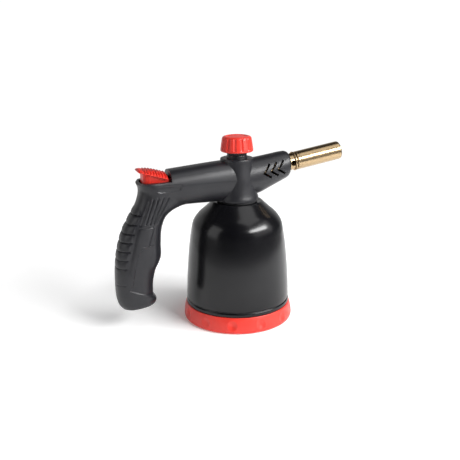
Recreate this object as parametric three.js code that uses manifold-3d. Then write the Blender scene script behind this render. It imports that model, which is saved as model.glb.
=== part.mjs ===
// Butane torch: a pistol-grip gas torch that carries a pierceable cartridge in a screw-bottomed casing.
// Millimetres, +Z up. The origin is the centre of the flat base, and +X points towards the burner.
import * as THREE from 'three';
import { mergeVertices } from 'three/addons/utils/BufferGeometryUtils.js';
import Module from 'manifold-3d';

const wasm = await Module();
wasm.setup();

// ---- Driving dimensions ----------------------------------------------------------------------
const GAP = 0.3; // clearance between neighbouring pieces
const WALL = 2.3; // moulded shell wall
const SHEET = 0.8; // steel sheet of the casing
const CAN_SHEET = 0.5; // steel sheet of the cartridge

const BASE_RADIUS = 52.5;
const BASE_HEIGHT = 15.5;
const BASE_FLOOR = 2.5;
const CASING_LIP = 7; // lower end of the casing inside the base ring
const CASING_TOP = 114.2;
const CASING_MOUTH = 10.4; // radius of the hole in the casing's top
const CARTRIDGE_RADIUS = 44.5;
const CARTRIDGE_FOOT = 4;
const CARTRIDGE_TOP = 98.4;
const PIERCED_HOLE = 2;

const FOOT_HEIGHT = 116.4; // underside of the column
const COLUMN_TOP = 155.8;
const COLUMN_BORE = 13.6;
const FOOT_BORE = 15.2;
const STEM_RADIUS = 9.5;

const DECK = 140.2; // flat behind the arm where the thumb lever sits
const DECK_FRONT = -66.2; // wall between the deck and the arm
const DECK_SKIN = 2.3;

const BURNER_PITCH = THREE.MathUtils.degToRad(9.3);
const BURNER_AXIS_HEIGHT = 139; // height at which the burner's axis crosses the column's axis
const NECK_RADIUS = 8;
const TUBE_RADIUS = 8.75;
const TUBE_START = 60.3;
const TUBE_END = 106.6;

const KNOB_FOOT = 162;
const KNOB_TOP = 176.4;
const KNOB_FLUTES = 14;

const PIVOT = { x: -62, z: 140 }; // lever pivot
const PIVOT_RADIUS = 1.5;
const PIVOT_BOSS = 3.4; // radius of the bosses that hold the pin
const TAB_INNER = 6; // the lever's two tabs run between these distances from the middle plane
const TAB_OUTER = 9;
const LEVER_PLAN = [ // lever's skirt seen from above, as (x, half width)
  [-91.8, 5.4], [-89.6, 8.3], [-85.2, 9.8], [-67.6, 9.8],
];
const WELL_END_CLEARANCE = 0.9; // behind the lever's skirt
const WELL_SIDE_CLEARANCE = 0.63;
const WELL_DEPTH = 10.8; // below the deck
const CROWN_RADIUS = 24; // of the pad's top, across its width
const CROWN_SLOPE = THREE.MathUtils.degToRad(12); // of the pad's ridge, down towards the front
const PIEZO_X = -85;
const PIEZO_HALF = 5.2; // half the width of the igniter's square body
const PIEZO_FOOT = 92;
const PIEZO_TOP = 118;
const PLUNGER_TOP = 132.2;

// Case screws, as places in the XZ plane: two in the grip, two in the arm and one under the barrel.
const SCREW_PLACES = [[-101, 31], [-100, 66], [-62, 121.6], [-30, 122.6], [24, 128.8]];
const SCREW_HEAD_SEAT = 8;
const SCREW_HEAD_HOLE = 3.4;
const SCREW_SHANK = 1.35;
const SCREW_DEPTH = 10.5;
const BOSS_RADIUS = 3.7;

// ---- Materials -------------------------------------------------------------------------------
const LOOKS = {
  shell: { color: 0x3b3b3f, roughness: 0.48, metalness: 0 },
  red: { color: 0xd8382e, roughness: 0.38, metalness: 0 },
  enamel: { color: 0x17171a, roughness: 0.22, metalness: 0.1 },
  blackPart: { color: 0x202022, roughness: 0.45, metalness: 0 },
  brass: { color: 0xb39a66, roughness: 0.3, metalness: 1 },
  steel: { color: 0x9a9da1, roughness: 0.35, metalness: 1 },
  can: { color: 0x3d6ea8, roughness: 0.35, metalness: 0.6 },
  rubber: { color: 0x1a1a1a, roughness: 0.8, metalness: 0 },
  ceramic: { color: 0xeeece4, roughness: 0.35, metalness: 0 },
  whitePlastic: { color: 0xe6e4dc, roughness: 0.5, metalness: 0 },
  wire: { color: 0xb02a22, roughness: 0.6, metalness: 0 },
};

function material(look) {
  return new THREE.MeshStandardMaterial(LOOKS[look]);
}

// ---- Solids and booleans ---------------------------------------------------------------------
// Merges shared vertices, drops empty triangles and turns the faces outwards.
function closed(geometry) {
  const plain = geometry.clone();
  plain.deleteAttribute('normal');
  plain.deleteAttribute('uv');
  const merged = mergeVertices(plain, 1e-4);
  const place = merged.attributes.position;
  const corners = merged.index.array;
  const kept = [];
  let volume = 0;
  const a = new THREE.Vector3();
  const b = new THREE.Vector3();
  const c = new THREE.Vector3();
  for (let i = 0; i < corners.length; i += 3) {
    const [p, q, r] = [corners[i], corners[i + 1], corners[i + 2]];
    if (p === q || q === r || r === p) continue;
    kept.push(p, q, r);
    a.fromBufferAttribute(place, p);
    b.fromBufferAttribute(place, q);
    c.fromBufferAttribute(place, r);
    volume += a.dot(b.cross(c));
  }
  if (volume < 0) kept.reverse();
  merged.setIndex(kept);
  return merged;
}

function toSolid(geometry) {
  const tidy = closed(geometry);
  const vertProperties = Float32Array.from(tidy.attributes.position.array);
  const triVerts = Uint32Array.from(tidy.index.array);
  return new wasm.Manifold(new wasm.Mesh({ numProp: 3, vertProperties, triVerts }));
}

function toGeometry(solid) {
  const mesh = solid.getMesh();
  const geometry = new THREE.BufferGeometry();
  geometry.setAttribute('position', new THREE.Float32BufferAttribute(mesh.vertProperties, mesh.numProp));
  geometry.setIndex(Array.from(mesh.triVerts));
  return geometry;
}

const union = (...geometries) => geometries.map(toSolid).reduce((sum, next) => sum.add(next));
const cut = (body, ...tools) => tools.map(toSolid).reduce((rest, tool) => rest.subtract(tool), body);

// ---- Basic shapes ----------------------------------------------------------------------------
// A turned piece about Z. The profile lists [radius, height] and closes on itself or on the axis.
function turned(profile, segments = 24) {
  const points = profile.map(([radius, height]) => new THREE.Vector2(radius, height));
  const first = points[0];
  const last = points[points.length - 1];
  if (first.x > 0 || last.x > 0) points.push(first.clone());
  return closed(new THREE.LatheGeometry(points, segments).rotateX(Math.PI / 2));
}

function rod(radius, from, to, segments = 24) {
  const geometry = new THREE.CylinderGeometry(radius, radius, to - from, segments);
  return geometry.rotateX(Math.PI / 2).translate(0, 0, (from + to) / 2);
}

// A round bar across the object, along Y, at a place in the XZ plane.
function crossRod(radius, [x, z], from, to, segments = 24) {
  const geometry = new THREE.CylinderGeometry(radius, radius, to - from, segments);
  return geometry.translate(x, (from + to) / 2, z);
}

function block([x0, y0, z0], [x1, y1, z1]) {
  const geometry = new THREE.BoxGeometry(x1 - x0, y1 - y0, z1 - z0);
  return geometry.translate((x0 + x1) / 2, (y0 + y1) / 2, (z0 + z1) / 2);
}

// A flat outline in the XZ plane, extruded across Y.
function slab(outline, from, to) {
  const shape = new THREE.Shape(outline.map(([x, z]) => new THREE.Vector2(x, z)));
  const geometry = new THREE.ExtrudeGeometry(shape, { depth: to - from, bevelEnabled: false });
  return geometry.rotateX(Math.PI / 2).translate(0, to, 0);
}

// A plan seen from above, given as (x, half width) pairs and mirrored about Y = 0, extruded along Z.
function plate(plan, from, to) {
  const right = plan.map(([x, half]) => new THREE.Vector2(x, -half));
  const left = plan.toReversed().map(([x, half]) => new THREE.Vector2(x, half));
  const geometry = new THREE.ExtrudeGeometry(new THREE.Shape([...right, ...left]), {
    depth: to - from,
    bevelEnabled: false,
  });
  return geometry.translate(0, 0, from);
}

function hexNut(cornerRadius, bore, from, to) {
  const shape = new THREE.Shape();
  shape.moveTo(cornerRadius, 0);
  for (let k = 1; k < 6; k += 1) {
    const angle = (k * Math.PI) / 3;
    shape.lineTo(cornerRadius * Math.cos(angle), cornerRadius * Math.sin(angle));
  }
  if (bore > 0) {
    const hole = new THREE.Path();
    hole.absarc(0, 0, bore, 0, 2 * Math.PI, true);
    shape.holes.push(hole);
  }
  const options = { depth: to - from, bevelEnabled: false, curveSegments: 12 };
  return new THREE.ExtrudeGeometry(shape, options).translate(0, 0, from);
}

// Swings a shape made along Z so that it lies along the burner's axis.
function ontoBurnerAxis(geometry) {
  return geometry.rotateY(Math.PI / 2 - BURNER_PITCH).translate(0, 0, BURNER_AXIS_HEIGHT);
}

// ---- The moulded body: grip, arm, column and barrel --------------------------------------------
// Each section lies across the body between an inner edge (finger side) and an outer edge (back or top).
// "widest" is where the full half width falls, as a share of the way from the inner edge to the outer.
const GRIP_SECTIONS = [
  { inner: [-86.5, 24.6], outer: [-111, 20.9], half: 11.6, widest: 0.5 },
  { inner: [-84.1, 25.1], outer: [-114.4, 22.2], half: 13.5, widest: 0.5 },
  { inner: [-82.4, 27.1], outer: [-117.3, 26], half: 14.8, widest: 0.5 },
  { inner: [-82.1, 29.8], outer: [-118.6, 30], half: 15.1, widest: 0.5 },
  { inner: [-84.6, 33.6], outer: [-119.3, 35], half: 15.1, widest: 0.5 },
  { inner: [-85, 40], outer: [-119.6, 43], half: 15.2, widest: 0.5 },
  { inner: [-83.9, 50], outer: [-119.3, 54], half: 15.3, widest: 0.5 },
  { inner: [-81.9, 57.5], outer: [-118.7, 61.5], half: 15.4, widest: 0.5 },
  { inner: [-77.9, 65.2], outer: [-117.9, 69], half: 15.6, widest: 0.5 },
  { inner: [-76.1, 70.5], outer: [-116.6, 77], half: 15.7, widest: 0.5 },
  { inner: [-75.9, 82.4], outer: [-113.8, 87], half: 15.7, widest: 0.5 },
  { inner: [-75.2, 92.5], outer: [-110.7, 95.7], half: 15.7, widest: 0.5 },
  { inner: [-73.6, 100.5], outer: [-105.6, 105], half: 15.7, widest: 0.5 },
  { inner: [-70.2, 107.6], outer: [-100.4, 114], half: 15.8, widest: 0.51 },
  { inner: [-64.6, 112.2], outer: [-96.1, 123], half: 16, widest: 0.53 },
  { inner: [-57.5, 115.2], outer: [-94.2, 133.5], half: 16.2, widest: 0.56 },
  { inner: [-51.5, 116.4], outer: [-98, 147], half: 16.4, widest: 0.6 },
  { inner: [-46, 116.6], outer: [-84, 148], half: 16.5, widest: 0.62 },
  { inner: [-40, 116.6], outer: [-69, 149.3], half: 16.5, widest: 0.62 },
  { inner: [-32, 116.5], outer: [-50, 151], half: 16.5, widest: 0.61 },
  { inner: [-20, 116.5], outer: [-28, 153], half: 16.5, widest: 0.58 },
  { inner: [-3, 116.8], outer: [-3, 154.8], half: 16.3, widest: 0.54 },
];

const BARREL_SECTIONS = [
  { inner: [3, 118], outer: [3, 153.6], half: 15.6, widest: 0.5 },
  { inner: [20.9, 121.2], outer: [20.9, 155.5], half: 15.1, widest: 0.5 },
  { inner: [34, 127], outer: [34, 157.3], half: 14.3, widest: 0.5 },
  { inner: [46.5, 132.6], outer: [46.5, 159], half: 13.2, widest: 0.5 },
  { inner: [49.6, 134.4], outer: [49.6, 158.4], half: 12.2, widest: 0.5 },
  { inner: [51, 136.6], outer: [51, 156.4], half: 10.2, widest: 0.5 },
];

const GRIP_SQUARENESS = 2.4;
const BARREL_SQUARENESS = 2.1;

// One closed loop of points around a section, moved in by "inset".
function sectionLoop(section, inset, squareness, sides) {
  const inner = new THREE.Vector2(...section.inner);
  const outer = new THREE.Vector2(...section.outer);
  const span = inner.distanceTo(outer);
  const direction = outer.clone().sub(inner).divideScalar(span);
  const middle = section.widest * span;
  const power = 2 / squareness;
  const loop = [];
  for (let k = 0; k < sides; k += 1) {
    const angle = (2 * Math.PI * k) / sides;
    const lengthwise = Math.cos(angle);
    const crosswise = Math.sin(angle);
    const reach = (lengthwise > 0 ? span - middle : middle) - inset;
    const along = middle + reach * Math.sign(lengthwise) * Math.abs(lengthwise) ** power;
    const across = (section.half - inset) * Math.sign(crosswise) * Math.abs(crosswise) ** power;
    loop.push(new THREE.Vector3(inner.x + direction.x * along, across, inner.y + direction.y * along));
  }
  return loop;
}

// A closed skin through a row of loops, with a fan over each end.
function loft(loops) {
  const sides = loops[0].length;
  const positions = loops.flat().flatMap((point) => point.toArray());
  const indices = [];
  for (let row = 0; row < loops.length - 1; row += 1) {
    for (let k = 0; k < sides; k += 1) {
      const near = row * sides + k;
      const next = row * sides + ((k + 1) % sides);
      indices.push(near, next, near + sides, next, next + sides, near + sides);
    }
  }
  for (const row of [0, loops.length - 1]) {
    const centre = new THREE.Vector3();
    loops[row].forEach((point) => centre.addScaledVector(point, 1 / sides));
    const hub = positions.length / 3;
    positions.push(...centre.toArray());
    for (let k = 0; k < sides; k += 1) {
      const near = row * sides + k;
      const next = row * sides + ((k + 1) % sides);
      if (row === 0) indices.push(hub, next, near);
      else indices.push(hub, near, next);
    }
  }
  const geometry = new THREE.BufferGeometry();
  geometry.setAttribute('position', new THREE.Float32BufferAttribute(positions, 3));
  geometry.setIndex(indices);
  return closed(geometry);
}

function gripSkin(inset, firstSection, sides) {
  const sections = GRIP_SECTIONS.slice(firstSection);
  return loft(sections.map((section) => sectionLoop(section, inset, GRIP_SQUARENESS, sides)));
}

function barrelSkin(inset, sectionCount, sides) {
  const sections = BARREL_SECTIONS.slice(0, sectionCount);
  return loft(sections.map((section) => sectionLoop(section, inset, BARREL_SQUARENESS, sides)));
}

const COLUMN_PROFILE = [
  [0, FOOT_HEIGHT], [19.8, FOOT_HEIGHT], [20.3, 117], [20.2, 118.6], [19.1, 122], [17.8, 130],
  [17.3, 137], [16.3, 146], [15.7, 152], [15.6, 155.2], [15.1, COLUMN_TOP], [0, COLUMN_TOP],
];

// Three V-shaped air slots, one behind the other, seen from the side of the barrel.
const CHEVRON_COUNT = 3;
const CHEVRON = { x: 22, z: 141.7, pitchX: 7.1, pitchZ: 1.35, width: 1.9 };
const CHEVRON_ARMS = [[6.1, 8.2], [7.6, -4.5]];

function chevronSlots() {
  const slots = [];
  for (let k = 0; k < CHEVRON_COUNT; k += 1) {
    const apex = new THREE.Vector2(CHEVRON.x + k * CHEVRON.pitchX, CHEVRON.z + k * CHEVRON.pitchZ);
    for (const [dx, dz] of CHEVRON_ARMS) {
      const along = new THREE.Vector2(dx, dz);
      const side = new THREE.Vector2(-dz, dx).setLength(CHEVRON.width / 2);
      const start = apex.clone().addScaledVector(along.clone().normalize(), -CHEVRON.width / 2);
      const end = apex.clone().add(along);
      const outline = [
        start.clone().add(side), start.clone().sub(side), end.clone().sub(side), end.clone().add(side),
      ];
      slots.push(slab(outline.map((point) => [point.x, point.y]), -24, 24));
    }
  }
  return slots;
}

function bodySolid() {
  const outside = union(gripSkin(0, 0, 16), turned(COLUMN_PROFILE, 24), barrelSkin(0, 6, 16));
  const deckSlab = block([-120, -30, DECK - DECK_SKIN], [DECK_FRONT + DECK_SKIN, 30, 170]);
  const waistWall = block([-120, -30, 122], [-90.9, 30, DECK]);
  const gripHollow = cut(toSolid(gripSkin(WALL, 2, 8)), deckSlab, waistWall);
  const bore = rod(COLUMN_BORE, 119.5, COLUMN_TOP - WALL, 16);
  const hollow = gripHollow.add(union(bore, barrelSkin(WALL, 4, 10)));
  const pivot = [PIVOT.x, PIVOT.z];
  const bossFace = TAB_OUTER + 1.2;
  const bosses = union(...SCREW_PLACES.map((place) => crossRod(BOSS_RADIUS, place, -18, 18, 12)))
    .add(union(crossRod(PIVOT_BOSS, pivot, bossFace, 18, 12)))
    .add(union(crossRod(PIVOT_BOSS, pivot, -18, -bossFace, 12)))
    .add(union(...piezoRibs()));
  const deckCut = slab(
    [
      [DECK_FRONT, 170], [DECK_FRONT, DECK + 0.3], [-91.8, DECK], [-93, DECK - 0.7], [-97, DECK - 2.3],
      [-112, DECK - 2.3], [-112, 170],
    ],
    -30,
    30,
  );
  const wellPlan = LEVER_PLAN.map(([x, half]) => [x - WELL_END_CLEARANCE, half + WELL_SIDE_CLEARANCE]);
  wellPlan[wellPlan.length - 1][0] = DECK_FRONT;
  const leverWell = plate(wellPlan, DECK - WELL_DEPTH, DECK + 4);
  const tabSlotInner = TAB_INNER - 2 * GAP;
  const tabSlotOuter = TAB_OUTER + 2 * GAP;
  const tabSlots = [-1, 1].map((side) => block(
    [DECK_FRONT - 2, side > 0 ? tabSlotInner : -tabSlotOuter, 133],
    [PIVOT.x + 4, side > 0 ? tabSlotOuter : -tabSlotInner, 144],
  ));
  const mouth = ontoBurnerAxis(rod(10.3, 44, 60, 24));
  const screwHoles = SCREW_PLACES.flatMap((place) => [
    crossRod(SCREW_HEAD_HOLE, place, SCREW_HEAD_SEAT, 22, 14),
    crossRod(SCREW_SHANK + GAP, place, -SCREW_DEPTH - 0.5, SCREW_HEAD_SEAT + 0.5, 8),
  ]);
  return cut(
    outside.subtract(hollow).add(bosses.intersect(outside)),
    deckCut, leverWell, ...tabSlots, mouth, ...chevronSlots(), ...screwHoles,
    rod(FOOT_BORE, 110, 121.5, 16),
    rod(STEM_RADIUS + 0.5, 150, 160, 20),
    crossRod(PIVOT_RADIUS + GAP, pivot, -13.2, 13.2, 10),
  );
}

// Ribs inside the grip that hold the igniter.
function piezoRibs() {
  const ribs = [];
  for (const height of [96, 106]) {
    for (const side of [-1, 1]) {
      const low = side > 0 ? PIEZO_HALF + 0.1 + GAP : -18;
      const high = side > 0 ? 18 : -PIEZO_HALF - 0.1 - GAP;
      ribs.push(block([PIEZO_X - 6, low, height - 0.8], [PIEZO_X + 6, high, height + 0.8]));
    }
  }
  return ribs;
}

const body = bodySolid();

function shellHalf(side) {
  const low = side > 0 ? GAP / 2 : -40;
  const high = side > 0 ? 40 : -GAP / 2;
  return toGeometry(body.intersect(toSolid(block([-140, low, 0], [80, high, 190]))));
}

// ---- Casing, base and cartridge ------------------------------------------------------------------
function casing() {
  const outside = [
    [48.3, CASING_LIP], [48.3, 14.8], [49.8, 16], [49.6, 18.7], [48.9, 19.6], [49.1, 22], [47.9, 50],
    [45.7, 75.5], [44.3, 85.5], [42.4, 95], [40, 99], [36.4, 103.6], [31.4, 107.9], [26.5, 112.2],
    [24, 114.7], [22.9, 115.3], [20.8, CASING_TOP], [CASING_MOUTH, CASING_TOP],
  ];
  const inside = [
    [CASING_MOUTH, CASING_TOP - SHEET], [22.4, CASING_TOP - SHEET], [30.9, 107.2], [39.3, 98.5],
    [43.5, 85.4], [47.1, 49.9], [48.1, 24], [47.5, 19.5], [47.5, CASING_LIP],
  ];
  return turned([...outside, ...inside], 32);
}

function baseRing() {
  const profile = [
    [0, 0], [50.8, 0], [52.1, 0.6], [BASE_RADIUS, 2], [51.9, 8.5], [50.7, 14], [50.3, 15.2],
    [49.8, BASE_HEIGHT], [48.9, 15], [48.9, 6], [47.9, 3.2], [46.5, BASE_FLOOR], [0, BASE_FLOOR],
  ];
  const dimples = [];
  const dimpleCount = 12;
  const dimpleDepth = 0.95;
  const firstDimple = THREE.MathUtils.degToRad(5);
  for (let k = 0; k < dimpleCount; k += 1) {
    const dimple = new THREE.CylinderGeometry(4.6, 2.4, 2, 8).rotateZ(-Math.PI / 2);
    dimple.translate(51.9 + 1 - dimpleDepth, 0, 8);
    dimples.push(dimple.rotateZ(firstDimple + (2 * Math.PI * k) / dimpleCount));
  }
  const slotCount = 6;
  const slots = [];
  for (let k = 0; k < slotCount; k += 1) {
    const slot = block([22, -2.5, -1], [36, 2.5, BASE_FLOOR + 1]);
    slots.push(slot.rotateZ((2 * Math.PI * k) / slotCount));
  }
  return toGeometry(cut(toSolid(turned(profile, 32)), ...dimples, ...slots));
}

function cartridgeTray() {
  return turned([
    [0, 2.9], [45.9, 2.9], [46.7, 3.6], [46.7, 8], [46, 8], [46, 3.7], [0, 3.7],
  ], 28);
}

function cartridge() {
  const foot = CARTRIDGE_FOOT;
  const r = CARTRIDGE_RADIUS;
  const outside = [
    [0, foot + 1.6], [39, foot + 1.6], [41.5, foot], [r + 0.5, foot + 0.6], [r + 0.5, foot + 3],
    [r, foot + 3.8], [r, 64], [42.6, 74], [37.5, 83.5], [22, 94.1], [8, 97], [6.6, CARTRIDGE_TOP],
    [PIERCED_HOLE, CARTRIDGE_TOP],
  ];
  const inside = [
    [PIERCED_HOLE, CARTRIDGE_TOP - CAN_SHEET], [6.3, CARTRIDGE_TOP - CAN_SHEET], [7.6, 96.5],
    [21.7, 93.6], [37, 83.2], [42.1, 73.8], [r - CAN_SHEET, 64], [r - CAN_SHEET, foot + 3.6],
    [39.2, foot + 1.6 + CAN_SHEET], [0, foot + 1.6 + CAN_SHEET],
  ];
  return turned([...outside, ...inside], 24);
}

// ---- Valve -----------------------------------------------------------------------------------
const SPINDLE_RADIUS = 2.2;
const SEAT_HEIGHT = 128;
const VALVE_BORE = 3.2;

function valveBody() {
  const core = turned([
    [1, 103.9], [8, 103.9], [8, 100], [9.5, 100], [9.5, 109], [14.5, 109], [14.5, 113.1], [10, 113.1],
    [10, 121.5], [9, 122.5], [9, 146.5], [6.4, 147], [6.4, 150.5], [VALVE_BORE, 150.5],
    [VALVE_BORE, SEAT_HEIGHT + 2], [1, SEAT_HEIGHT],
  ], 20);
  const boss = ontoBurnerAxis(rod(6.4, 4, 13, 12));
  const socket = ontoBurnerAxis(rod(4 + GAP, 9.6, 14, 14));
  const port = ontoBurnerAxis(rod(1.5, 0, 10, 10));
  const chamber = rod(VALVE_BORE, SEAT_HEIGHT + 2, 151, 20);
  return toGeometry(cut(union(core, boss), socket, port, chamber));
}

function valveSpindle() {
  const r = SPINDLE_RADIUS;
  return turned([
    [0, SEAT_HEIGHT + 0.4], [0.6, SEAT_HEIGHT + 0.4], [r, SEAT_HEIGHT + 4], [r, 142.4], [1.7, 142.8],
    [1.7, 144.6], [r, 145], [r, 157], [1.9, 157.6], [1.9, 172.6], [0, 172.6],
  ], 14);
}

function spindleRing() {
  const ring = new THREE.TorusGeometry(2.45, 0.45, 6, 16);
  return ring.translate(0, 0, 143.7);
}

function piercingNeedle() {
  return turned([
    [0.5, 92.6], [0.8, 92.2], [1.2, 94.2], [1.2, 101.6], [3.4, 101.6], [3.4, 103.5], [0.5, 103.5],
  ], 10);
}

function cartridgeSeal() {
  return turned([[1.8, 98.8], [7.2, 98.8], [7.5, 99.4], [7.5, 101.3], [1.8, 101.3]], 20);
}

function spindleGuide() {
  return turned([
    [2.6, 154.2], [9, 154.2], [STEM_RADIUS, 154.8], [STEM_RADIUS, 163.4], [9, 164], [2.6, 164],
  ], 24);
}

function gasKnob() {
  const profile = [
    [0, 173.2], [2.3, 173.2], [2.3, 165.2], [5, 165.2], [5, 169], [10.2, 169], [10.2, KNOB_FOOT],
    [14.4, KNOB_FOOT], [14.9, 162.7], [14.8, 164.2], [13.3, 174.6], [12.6, 175.6], [10.6, 176],
    [5, KNOB_TOP], [0, KNOB_TOP],
  ];
  const flutes = [];
  for (let k = 0; k < KNOB_FLUTES; k += 1) {
    const flute = new THREE.CylinderGeometry(1.15, 1.15, 9.2, 5).rotateX(Math.PI / 2);
    flute.rotateY(-0.14).translate(14.75, 0, 169.2);
    flutes.push(flute.rotateZ((2 * Math.PI * k) / KNOB_FLUTES));
  }
  return toGeometry(cut(toSolid(turned(profile, 24)), ...flutes));
}

// ---- Burner: made along Z, then laid along the burner's axis -----------------------------------
const INSULATOR_TILT = THREE.MathUtils.degToRad(14);
const ELECTRODE_RISE = 4; // distance of the insulator's front end below the axis
const INSULATOR_END = 62;
const INSULATOR_LENGTH = 29;

// Places a rod made along Z so that it runs up into the burner from below.
function alongInsulator(geometry) {
  return geometry.rotateY(-INSULATOR_TILT).translate(ELECTRODE_RISE, 0, INSULATOR_END);
}

function injectorHolder() {
  const tube = turned([
    [1.6, 9.9], [4, 9.9], [4, 13.4], [4.6, 13.4], [4.6, 26], [1.6, 26],
  ], 12);
  return toGeometry(union(tube, hexNut(6.2, 3, 13.4, 17.6)));
}

function injector() {
  return toGeometry(union(
    turned([[0.5, 26.3], [3, 26.3], [3, 30], [1.6, 33], [0.5, 33]], 10),
    hexNut(3.9, 1.2, 27, 29.4),
  ));
}

function burnerNeck() {
  const tube = turned([
    [5, 19.4], [NECK_RADIUS + 0.8, 19.4], [NECK_RADIUS + 0.8, 21.2], [NECK_RADIUS, 21.2],
    [NECK_RADIUS, 59.4], [7.2, 59.8], [7.2, 67], [6.2, 67], [6.2, 22], [5, 22],
  ], 22);
  const air = [0, 1].map((k) => {
    const hole = new THREE.CylinderGeometry(2.7, 2.7, 24, 12);
    return hole.rotateZ((k * Math.PI) / 2).translate(0, 0, 55.8);
  });
  const passage = alongInsulator(rod(1.5 + GAP, -40, 2, 10));
  return toGeometry(cut(toSolid(tube), ...air, passage));
}

function burnerFerrule() {
  return turned([
    [NECK_RADIUS + GAP, 57.4], [8.8, 57.4], [9.25, 57.9], [9.25, 58.7], [8.8, 59.2],
    [NECK_RADIUS + GAP, 59.2],
  ], 28);
}

function burnerTube() {
  return turned([
    [7.5, TUBE_START], [8.6, TUBE_START], [TUBE_RADIUS, 60.8], [TUBE_RADIUS, TUBE_END - 0.8],
    [8.2, TUBE_END], [7.5, TUBE_END],
  ], 32);
}

function flameHolder() {
  const disc = rod(7.1, 73, 75, 24);
  const holeCount = 8;
  const holes = [rod(2.1, 72, 76, 10)];
  for (let k = 0; k < holeCount; k += 1) {
    const angle = (2 * Math.PI * (k + 0.5)) / holeCount;
    holes.push(rod(0.9, 72, 76, 6).translate(5 * Math.cos(angle), 5 * Math.sin(angle), 0));
  }
  const passage = alongInsulator(rod(1.2, 6, 20, 8));
  return toGeometry(cut(toSolid(disc), ...holes, passage));
}

function insulator() {
  return alongInsulator(turned([
    [0.8, -INSULATOR_LENGTH], [1.5, -INSULATOR_LENGTH], [1.5, -0.3], [1.2, 0], [0.8, 0],
  ], 12));
}

function electrode() {
  return alongInsulator(rod(0.5, -INSULATOR_LENGTH + 1.5, 20, 8));
}

// ---- Igniter -----------------------------------------------------------------------------------
function piezoBody() {
  const half = PIEZO_HALF;
  const corner = 1.4;
  const shape = new THREE.Shape();
  shape.absarc(half - corner, half - corner, corner, 0, Math.PI / 2);
  shape.absarc(corner - half, half - corner, corner, Math.PI / 2, Math.PI);
  shape.absarc(corner - half, corner - half, corner, Math.PI, 1.5 * Math.PI);
  shape.absarc(half - corner, corner - half, corner, 1.5 * Math.PI, 2 * Math.PI);
  const hole = new THREE.Path();
  hole.absarc(0, 0, 3.6, 0, 2 * Math.PI, true);
  shape.holes.push(hole);
  const options = { depth: PIEZO_TOP - PIEZO_FOOT, bevelEnabled: false, curveSegments: 4 };
  return new THREE.ExtrudeGeometry(shape, options).translate(PIEZO_X, 0, PIEZO_FOOT);
}

function piezoPlunger() {
  const profile = [
    [0, 103], [3.2, 103], [3.2, 129.4], [4.4, 129.4], [4.5, 131.6], [4, PLUNGER_TOP], [0, PLUNGER_TOP],
  ];
  return turned(profile, 18).translate(PIEZO_X, 0, 0);
}

const SPRING_WIRE = 0.4;
const SPRING_TURNS = 4;
const SPRING_FOOT = PIEZO_TOP + GAP;
const SPRING_HEAD = 129.1;

class SpringLine extends THREE.Curve {
  getPoint(t) {
    const angle = 2 * Math.PI * SPRING_TURNS * t;
    const low = SPRING_FOOT + SPRING_WIRE;
    const high = SPRING_HEAD - SPRING_WIRE;
    const radius = 4.2;
    return new THREE.Vector3(radius * Math.cos(angle), radius * Math.sin(angle), low + (high - low) * t);
  }
}

function tubeAlong(curve, radius, sides, steps) {
  const section = new THREE.Shape();
  for (let k = 0; k < sides; k += 1) {
    const angle = (2 * Math.PI * k) / sides;
    const [x, y] = [radius * Math.cos(angle), radius * Math.sin(angle)];
    if (k === 0) section.moveTo(x, y);
    else section.lineTo(x, y);
  }
  return new THREE.ExtrudeGeometry(section, { steps, extrudePath: curve, bevelEnabled: false });
}

function plungerSpring() {
  return tubeAlong(new SpringLine(), SPRING_WIRE, 5, 40).translate(PIEZO_X, 0, 0);
}

function thumbLever() {
  const padSide = slab([
    [-96, 150.1], [-95.3, 151.3], [-92.5, 152.1], [-88.5, 152.5], [-83, 152], [-77, 150.7], [-71.5, 149.3],
    [-68.9, 148.4], [-67.5, 147], [-67.2, 143.6], [-68.3, 142.5], [-72, 143.1], [-80, 145.6], [-88, 148],
    [-94, 149.4],
  ], -12.4, 12.4);
  const crown = rod(CROWN_RADIUS, -30, 30, 48).rotateY(Math.PI / 2 + CROWN_SLOPE)
    .translate(-79, 0, 150.9 - CROWN_RADIUS);
  const pad = toSolid(padSide).intersect(toSolid(crown));
  const skirtSide = slab([
    [-91.8, 148.3], [-91.8, 137], [-89, 136.2], [-70, 138.4], [-67.6, 139], [-67.6, 143],
  ], -12, 12);
  const skirt = toSolid(skirtSide).intersect(toSolid(plate(LEVER_PLAN, 130, 150)));
  const tabs = [-1, 1].map((side) => {
    const low = side > 0 ? TAB_INNER : -TAB_OUTER;
    const high = side > 0 ? TAB_OUTER : -TAB_INNER;
    const arm = slab([[-69, 137.4], [PIVOT.x, 137.4], [PIVOT.x, 142.6], [-69, 142.6]], low, high);
    return toSolid(arm).add(toSolid(crossRod(2.6, [PIVOT.x, PIVOT.z], low, high, 20)));
  });
  const nub = crossRod(2, [-86, 134.7], -3, 3, 20);
  const stalk = block([-88, -3, 134.7], [-84, 3, 138]);
  const lever = tabs.reduce((sum, tab) => sum.add(tab), union(nub, stalk).add(pad).add(skirt));
  const pinHole = crossRod(PIVOT_RADIUS + GAP, [PIVOT.x, PIVOT.z], -14, 14, 20);
  return toGeometry(cut(lever, pinHole));
}

function leverPin() {
  return crossRod(PIVOT_RADIUS, [PIVOT.x, PIVOT.z], -12.9, 12.9, 20);
}

// The high-voltage lead, from the foot of the igniter round the valve to the insulator.
const WIRE_ROUTE = [
  [-85, 0, 91.6], [-85.2, 0, 88.6], [-89, 0.5, 86.2], [-94, 1, 89], [-96.6, 1.2, 97], [-95.6, 2.6, 106],
  [-92.2, 7, 114], [-85, 9.8, 119.6], [-75, 10, 124.6], [-64, 9.6, 129.4], [-48, 9.4, 131], [-28, 9.6, 131],
  [-14, 10.6, 131], [0, 11.6, 131], [11, 10.6, 132.6], [21, 9.6, 135.4], [28.4, 5.6, 135],
];

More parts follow.
